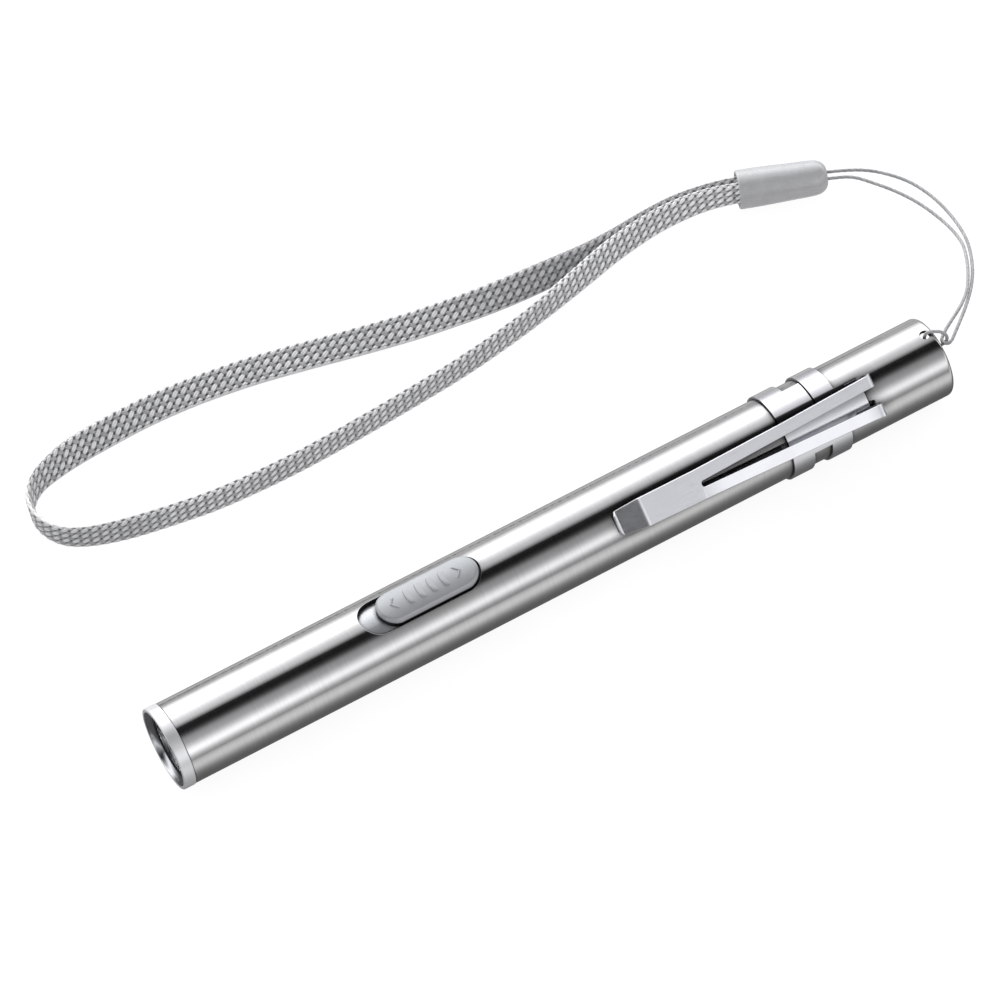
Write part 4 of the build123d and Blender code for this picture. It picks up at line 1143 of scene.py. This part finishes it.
def strap_section():
    """Two faces and two round edges: place across and through the band, and the normals."""
    flat = np.linspace(-FLAT, FLAT, 44)
    edge = np.linspace(0, math.pi, 13)[1:-1]
    straight = np.ones(len(flat))
    across = np.r_[flat, FLAT + HALF_T * np.sin(edge), flat[::-1], -FLAT - HALF_T * np.sin(edge)]
    normal_w = np.r_[0 * straight, np.sin(edge), 0 * straight, -np.sin(edge)]
    normal_t = np.r_[straight, np.cos(edge), -straight, -np.cos(edge[::-1])]
    return across, HALF_T * normal_t, normal_w, normal_t


def braid_pattern(along, girth, face):
    """Diamond braid on a square lattice: height in the bundle, place across it, lot, tone."""
    cos_a, sin_a = math.cos(BRAID_ANGLE), math.sin(BRAID_ANGLE)
    best = np.full(along.shape, -1.0)
    fil, lot, tone = np.zeros(along.shape), np.full(along.shape, 0.5), np.zeros(along.shape)
    table = np.random.default_rng(11).random(8192)
    # row's place across, offset in pitches, slant, brightness; full brightness is a painted sheen on
    # one slant, swapped between the faces
    rows = [((j + 0.5) * BRAID_ROW, 0.0, 1.0, 1.0) for j in (-2, -1, 0, 1)]
    rows += [(j * BRAID_ROW, 0.5, -1.0, 0.0) for j in (-1, 0, 1)]
    rows += [(2 * BRAID_ROW, 0.5, -1.0, 0.8)]
    for number, (row_w, offset, slant, brightness) in enumerate(rows):
        bright = brightness == 1.0
        half_l, half_w = (0.95, 0.46) if bright else (0.83, 0.38)
        nearest = np.round(along / BRAID_PITCH - offset)
        for shift in (-1, 0, 1):
            i = nearest + shift
            off_l, off_w = along - (i + offset) * BRAID_PITCH, girth - row_w
            direction = -face * slant
            lengthwise = off_l * cos_a * direction + off_w * sin_a
            crosswise = -off_l * sin_a * direction + off_w * cos_a
            level = (1 - np.abs(lengthwise / half_l) ** 2.3 - np.abs(crosswise / half_w) ** 2.3
                     + (0.07 if bright else 0.0))
            take = level > best
            best = np.where(take, level, best)
            fil = np.where(take, crosswise / half_w, fil)
            tone = np.where(take, brightness, tone)
            pick = (i.astype(int) * 13 + number * 101 + np.where(face > 0, 7, 0)) % 8192
            lot = np.where(take, table[pick], lot)
    return np.clip(best, 0, 1) ** 0.70, fil, lot, tone


def build_strap():
    line, dist = resample(catmull([(*p, 0.0) for p in STRAP_PLAN], 24), 0.12)
    line = blur(line, 9.0)
    plan = line[:, :2].copy()
    bend = int(np.argmin(plan[:, 0]))
    from_bend = dist - dist[bend]
    lean = strap_lean(plan, dist, bend)
    # the band stands or lies on the ground, and lifts to the sleeve's middle at both ends
    ground = FLOOR_Z + 0.12 + HALF_W * np.abs(np.cos(lean)) + HALF_T * np.abs(np.sin(lean))
    from_end = np.minimum(dist, dist[-1] - dist)
    rise = np.clip((18.0 - from_end) / 13.0, 0, 1)
    rise = rise * rise * (3 - 2 * rise)
    line[:, 2] = blur(ground * (1 - rise) + SLEEVE_Z * rise, 14.0)

    # directions along, out of the loop, across the band and out of its outer face
    tangent = unit(np.gradient(line, axis=0))
    outward = unit(np.stack([tangent[:, 1], -tangent[:, 0], np.zeros(len(tangent))], 1))
    if (line[bend] - STRAP_MIDDLE) @ outward[bend] < 0:
        outward = -outward
    width = np.cos(lean)[:, None] * np.array([0, 0, 1.0]) + np.sin(lean)[:, None] * outward
    width -= tangent * (width * tangent).sum(1, keepdims=True)
    width = unit(width)
    out_face = np.cross(width, tangent)
    out_face *= np.sign((out_face * outward).sum(1).mean())

    across, through, normal_w, normal_t = strap_section()
    count = len(across)
    # pressed together next to the sleeve, and drawn tight round the bend
    thin = (1.0 - 0.22 * np.clip((34.0 - from_end) / 12.0, 0, 1))[:, None]
    thin = thin * (1.0 - 0.38 * np.clip((17.0 - np.abs(from_bend)) / 8.0, 0, 1))[:, None]
    along = np.repeat(dist[:, None], count, 1)
    face = np.where(normal_t > 0, 1.0, -1.0)[None, :] * np.ones_like(along)
    # distance from the middle of the band, measured round the edge
    round_edge = np.sign(normal_w) * (FLAT + HALF_T * np.arcsin(np.clip(np.abs(normal_w), 0, 1)))
    girth = np.where(np.abs(normal_w) > 0, round_edge, across)
    girth = np.repeat(girth[None, :], len(dist), 0)

    lift, fil, lot, tone = braid_pattern(along, girth, face)
    split = np.exp(-(fil / 0.16) ** 2)  # each bundle is two strands side by side
    threads = 0.10 - 0.06 * split + 0.012 * np.cos(fil * 5 * math.pi)
    raised = -0.27 * (1 - lift) + threads * lift
    # over the tight bend the upper edge is drawn smooth
    crest = (np.clip((girth - (FLAT + 0.40)) / 0.15, 0, 1)
             * np.clip((8.0 - np.abs(from_bend + 0.5)) / 5.0, 0, 1)[:, None])
    raised = raised * (1 - crest) + 0.03 * crest
    # the plain woven hem along the lower edge, with one fine groove
    hem = np.clip((-girth - (FLAT + 0.22)) / 0.18, 0, 1)
    hem_groove = np.exp(-((girth + FLAT + 0.62) / 0.07) ** 2)
    raised = raised * (1 - hem) + hem * (-0.03 - 0.03 * hem_groove)
    normals = width[:, None] * normal_w[None, :, None] + out_face[:, None] * normal_t[None, :, None]
    rings = (line[:, None] + width[:, None] * (across + 0 * along)[..., None]
             + out_face[:, None] * (through * thin)[..., None] + normals * raised[..., None])

    # shade by x: dark on the far side next to the sleeve and on the bend, bright on the
    # near side next to the sleeve
    x = plan[:, 0]
    far_shade = np.interp(x, [60, 84, 98, 136, 140], [0.3, 0.4, 1.0, 1.2, 1.2])
    near_shade = np.interp(x, [3.0, 6, 16, 27, 92, 112, 140],
                           [0.6, 0.6, 0.5, 0.0, 0.0, -0.8, -1.0])
    shade = blur(np.where(np.arange(len(dist)) >= bend, far_shade, near_shade), 20.0)

    def with_caps(values, cap=0.5):
        return np.r_[values.ravel(), cap, cap]

    strap = mesh_object(
        "Strap.Braid", np.vstack([rings.reshape(-1, 3), line[:1], line[-1:]]),
        ring_faces(len(line), count),
        {"lift": with_caps(np.where(hem > 0.5, 0.9, lift)), "fil": with_caps(fil),
         "lot": with_caps(lot), "hem": with_caps(hem, 0), "crest": with_caps(crest, 0),
         "tone": with_caps(tone), "shade": with_caps(np.repeat(shade[:, None], count, 1), 0)})
    put(strap, "strap_braid", "strap", "wrist_strap")


build_strap()

# ------------------------------------------------------------------ parts that keep their shape
KEPT_SLOTS = {
    "slot_bed": "grey_plastic", "lens_gasket": "black_rubber", "led_emitter": "led_phosphor",
    "led_board": "aluminium_board", "pill_holder": "brass", "lead_wire_red": "red_wire",
    "lead_wire_black": "black_wire", "switch_carrier": "carrier_plastic",
    "driver_board": "green_board", "driver_chip": "chip_black",
    "fixed_contacts": "contact_brass", "slider_shoe": "carrier_plastic",
    "moving_contact": "contact_brass", "detent_spring": "spring_steel",
    "front_contact_plate": "brass", "battery_cell": "cell_wrap",
    "battery_sleeve": "sleeve_insulator", "cell_spring": "spring_steel",
    "rear_contact_plate": "brass", "charge_board": "green_board", "charge_chip": "chip_black",
    "usb_receptacle": "port_steel", "tail_insert": "tail_plastic", "clip_base": "clip_steel",
    "cord_crimp": "port_steel",
}
for name, part in frame["nodes"].items():
    if part.hide_render:
        continue
    slot = KEPT_SLOTS[name]
    part.data.materials.clear()
    part.data.materials.append(MATERIALS["clip_base_steel" if name == "clip_base" else slot])
    shade_smooth(part.data)
    part.data.set_sharp_from_angle(angle=math.radians(30))

# ------------------------------------------------------------------ floor
FLOOR_HALF = 30.0  # metres
FLOOR_DEPTH = 220.0
# painted shade in reflections of the floor
FLOOR_REFLECTION_SHADE = [  # distance from the barrel axis towards -Y, brightness in reflections
    (0.0, 0.13), (8.5, 0.13), (10.6, 0.167), (12.8, 0.22), (15.5, 0.336), (19.0, 0.52),
    (23.6, 0.70), (30.7, 0.79), (43.5, 0.76), (72.0, 0.63), (FLOOR_DEPTH, 0.37),
]


def floor_paper():
    """White paper that glows a little; in reflections it shows painted shade, darkest under the
    barrel.
    """
    net = material("floor_paper")
    rays = net.node("LightPath").outputs
    white = net.mix(net.remap(net.noise(0.02), MID), (0.985, 0.985, 0.985), (1.0, 1.0, 1.0))
    strength = net.add(0.57, net.mul(rays["Is Camera Ray"], 0.36))
    paper = net.node("AddShader", {
        0: net.node("Emission", {"Color": white, "Strength": strength}),
        1: net.node("BsdfDiffuse", {"Color": (0.13, 0.13, 0.13)})})
    # in reflections, painted shade by distance from the barrel towards -Y
    y_mm = net.mul(net.xyz(net.node("TexCoord").outputs["Object"])["Y"], 1000.0)
    near = net.ramp(net.remap(net.mul(y_mm, -1.0), (0.0, FLOOR_DEPTH)),
                    [(y / FLOOR_DEPTH, (glow,) * 3) for y, glow in FLOOR_REFLECTION_SHADE])
    # painted reflection: beyond the barrel the paper runs bright into the distance
    glow = net.mix(net.remap(y_mm, (8.0, 26.0)), near, (0.55, 0.55, 0.555))
    reflected = net.node("Emission", {"Color": glow, "Strength": 1.0})
    net.surface(net.node("MixShader", {0: rays["Is Glossy Ray"], 1: paper, 2: reflected}))


floor_paper()
sheet = bpy.data.meshes.new("Floor")
sheet.from_pydata([(x * FLOOR_HALF, y * FLOOR_HALF, 0)
                   for x, y in ((-1, -1), (1, -1), (1, 1), (-1, 1))], [], [[0, 1, 2, 3]])
floor = link_object("Floor", sheet)
floor.location = (0, 0, FLOOR_Z * MM)
sheet.materials.append(MATERIALS["floor_paper"])

# ------------------------------------------------------------------ light
STUDIO = [  # angle round the barrel in degrees (0 up, + away from the camera), radiance / 2
    (-180, 0.19), (-90, 0.185), (-87, 0.19), (-81, 0.30), (-75.6, 0.456), (-70, 0.594),
    (-65, 0.605), (-59, 0.506), (-54, 0.38), (-49, 0.287), (-44, 0.218), (-38.5, 0.187),
    (-33, 0.162), (-28, 0.116), (-23, 0.054), (-18, 0.020), (-13, 0.008), (-7.6, 0.0055),
    (2, 0.010), (5, 0.10), (8.4, 0.194), (14, 0.322), (19, 0.368), (25, 0.46), (31, 0.58),
    (37, 0.75), (43, 1.0), (65, 1.0), (73, 0.68), (81, 0.46), (91, 0.21), (180, 0.28),
]


def studio_world():
    """A soft sky for lighting, painted bands for reflections, plain white for the camera."""
    world = bpy.data.worlds.new("studio")
    bpy.context.scene.world = world
    net = Net(world, "OutputWorld")
    sky = net.node("TexCoord").outputs["Generated"]
    x, y, z = net.xyz(sky)
    rays = net.node("LightPath").outputs
    degrees = net.mul(net.calc("ARCTAN2", y, z), 180 / math.pi)
    # a touch of blue, except at the two end stops
    stops = [((angle + 180) / 360,
              (level, level, level if abs(angle) == 180 else min(1.0, level * 1.02)))
             for angle, level in STUDIO]
    bands = net.ramp(net.remap(degrees, (-180, 180)), stops)
    # brighter towards one high, far direction
    toward = net.node("VectorMath", {0: sky, 1: (0.10, 0.65, 0.753)}, operation="DOT_PRODUCT")
    soft = net.remap(toward.outputs["Value"], (-1.0, 1.0), to=(0.62, 0.88))
    # the end towards the head looks into the unlit side of the room
    lit = net.calc("MAXIMUM", net.remap(x, (-0.29, -0.03), to=(0.13, 1.0)),
                   net.remap(x, (-0.60, -0.42), to=(1.0, 0.13)))
    # an extra bright patch square to the barrel
    patch = net.mul(net.remap(x, (-0.10, 0.02), to=(0.0, 1.3)),
                    net.remap(x, (0.10, 0.22), to=(1.0, 0.0)))
    gloss = net.add(net.mul(lit, 2.0), patch)
    lighting, reflection, backdrop = (
        net.node("Background", {"Color": colour, "Strength": strength})
        for colour, strength in (((1.0, 1.0, 1.0), soft), (bands, gloss), ((1, 1, 1), 1.03)))
    unseen = net.node("MixShader", {0: rays["Is Glossy Ray"], 1: lighting, 2: reflection})
    net.surface(net.node("MixShader", {0: rays["Is Camera Ray"], 1: unseen, 2: backdrop}))


studio_world()

# one big soft lamp, high on the far side; metres and watts
lamp_data = bpy.data.lights.new("SoftLamp", "AREA")
lamp_data.shape = "RECTANGLE"
lamp_data.size, lamp_data.size_y = 0.9, 0.5
lamp_data.energy = 15.0
lamp = link_object("SoftLamp", lamp_data)
lamp.location = (0.17, 1.08, 0.36)
lamp_target = Vector((0.07, 0.02, 0))
lamp.rotation_euler = (lamp_target - lamp.location).to_track_quat("-Z", "Y").to_euler()
lamp.visible_glossy = False
lamp.visible_camera = False

# ------------------------------------------------------------------ camera
CAMERA_PLACE = Vector((-0.13395392, -0.39709903, 0.66778654))  # metres
CAMERA_RIGHT = Vector((0.8631067968529409, -0.5028570514810673, -0.04670592041725898))
CAMERA_UP = Vector((0.4385233411292959, 0.7003752494312134, 0.5631800682454632))
CAMERA_FORWARD = Vector((0.2504873979086677, 0.5065661810266578, -0.8250131924575582))

camera_data = bpy.data.cameras.new("Camera")
camera_data.sensor_width, camera_data.lens = 36.0, 180.0
camera_data.clip_start, camera_data.clip_end = 0.01, 50.0
camera = link_object("Camera", camera_data)
facing = Matrix((CAMERA_RIGHT, CAMERA_UP, -CAMERA_FORWARD)).transposed().to_4x4()
camera.matrix_world = Matrix.Translation(CAMERA_PLACE) @ facing
scene = bpy.context.scene
scene.camera = camera
scene.view_settings.view_transform = "Standard"
scene.view_settings.look = "None"
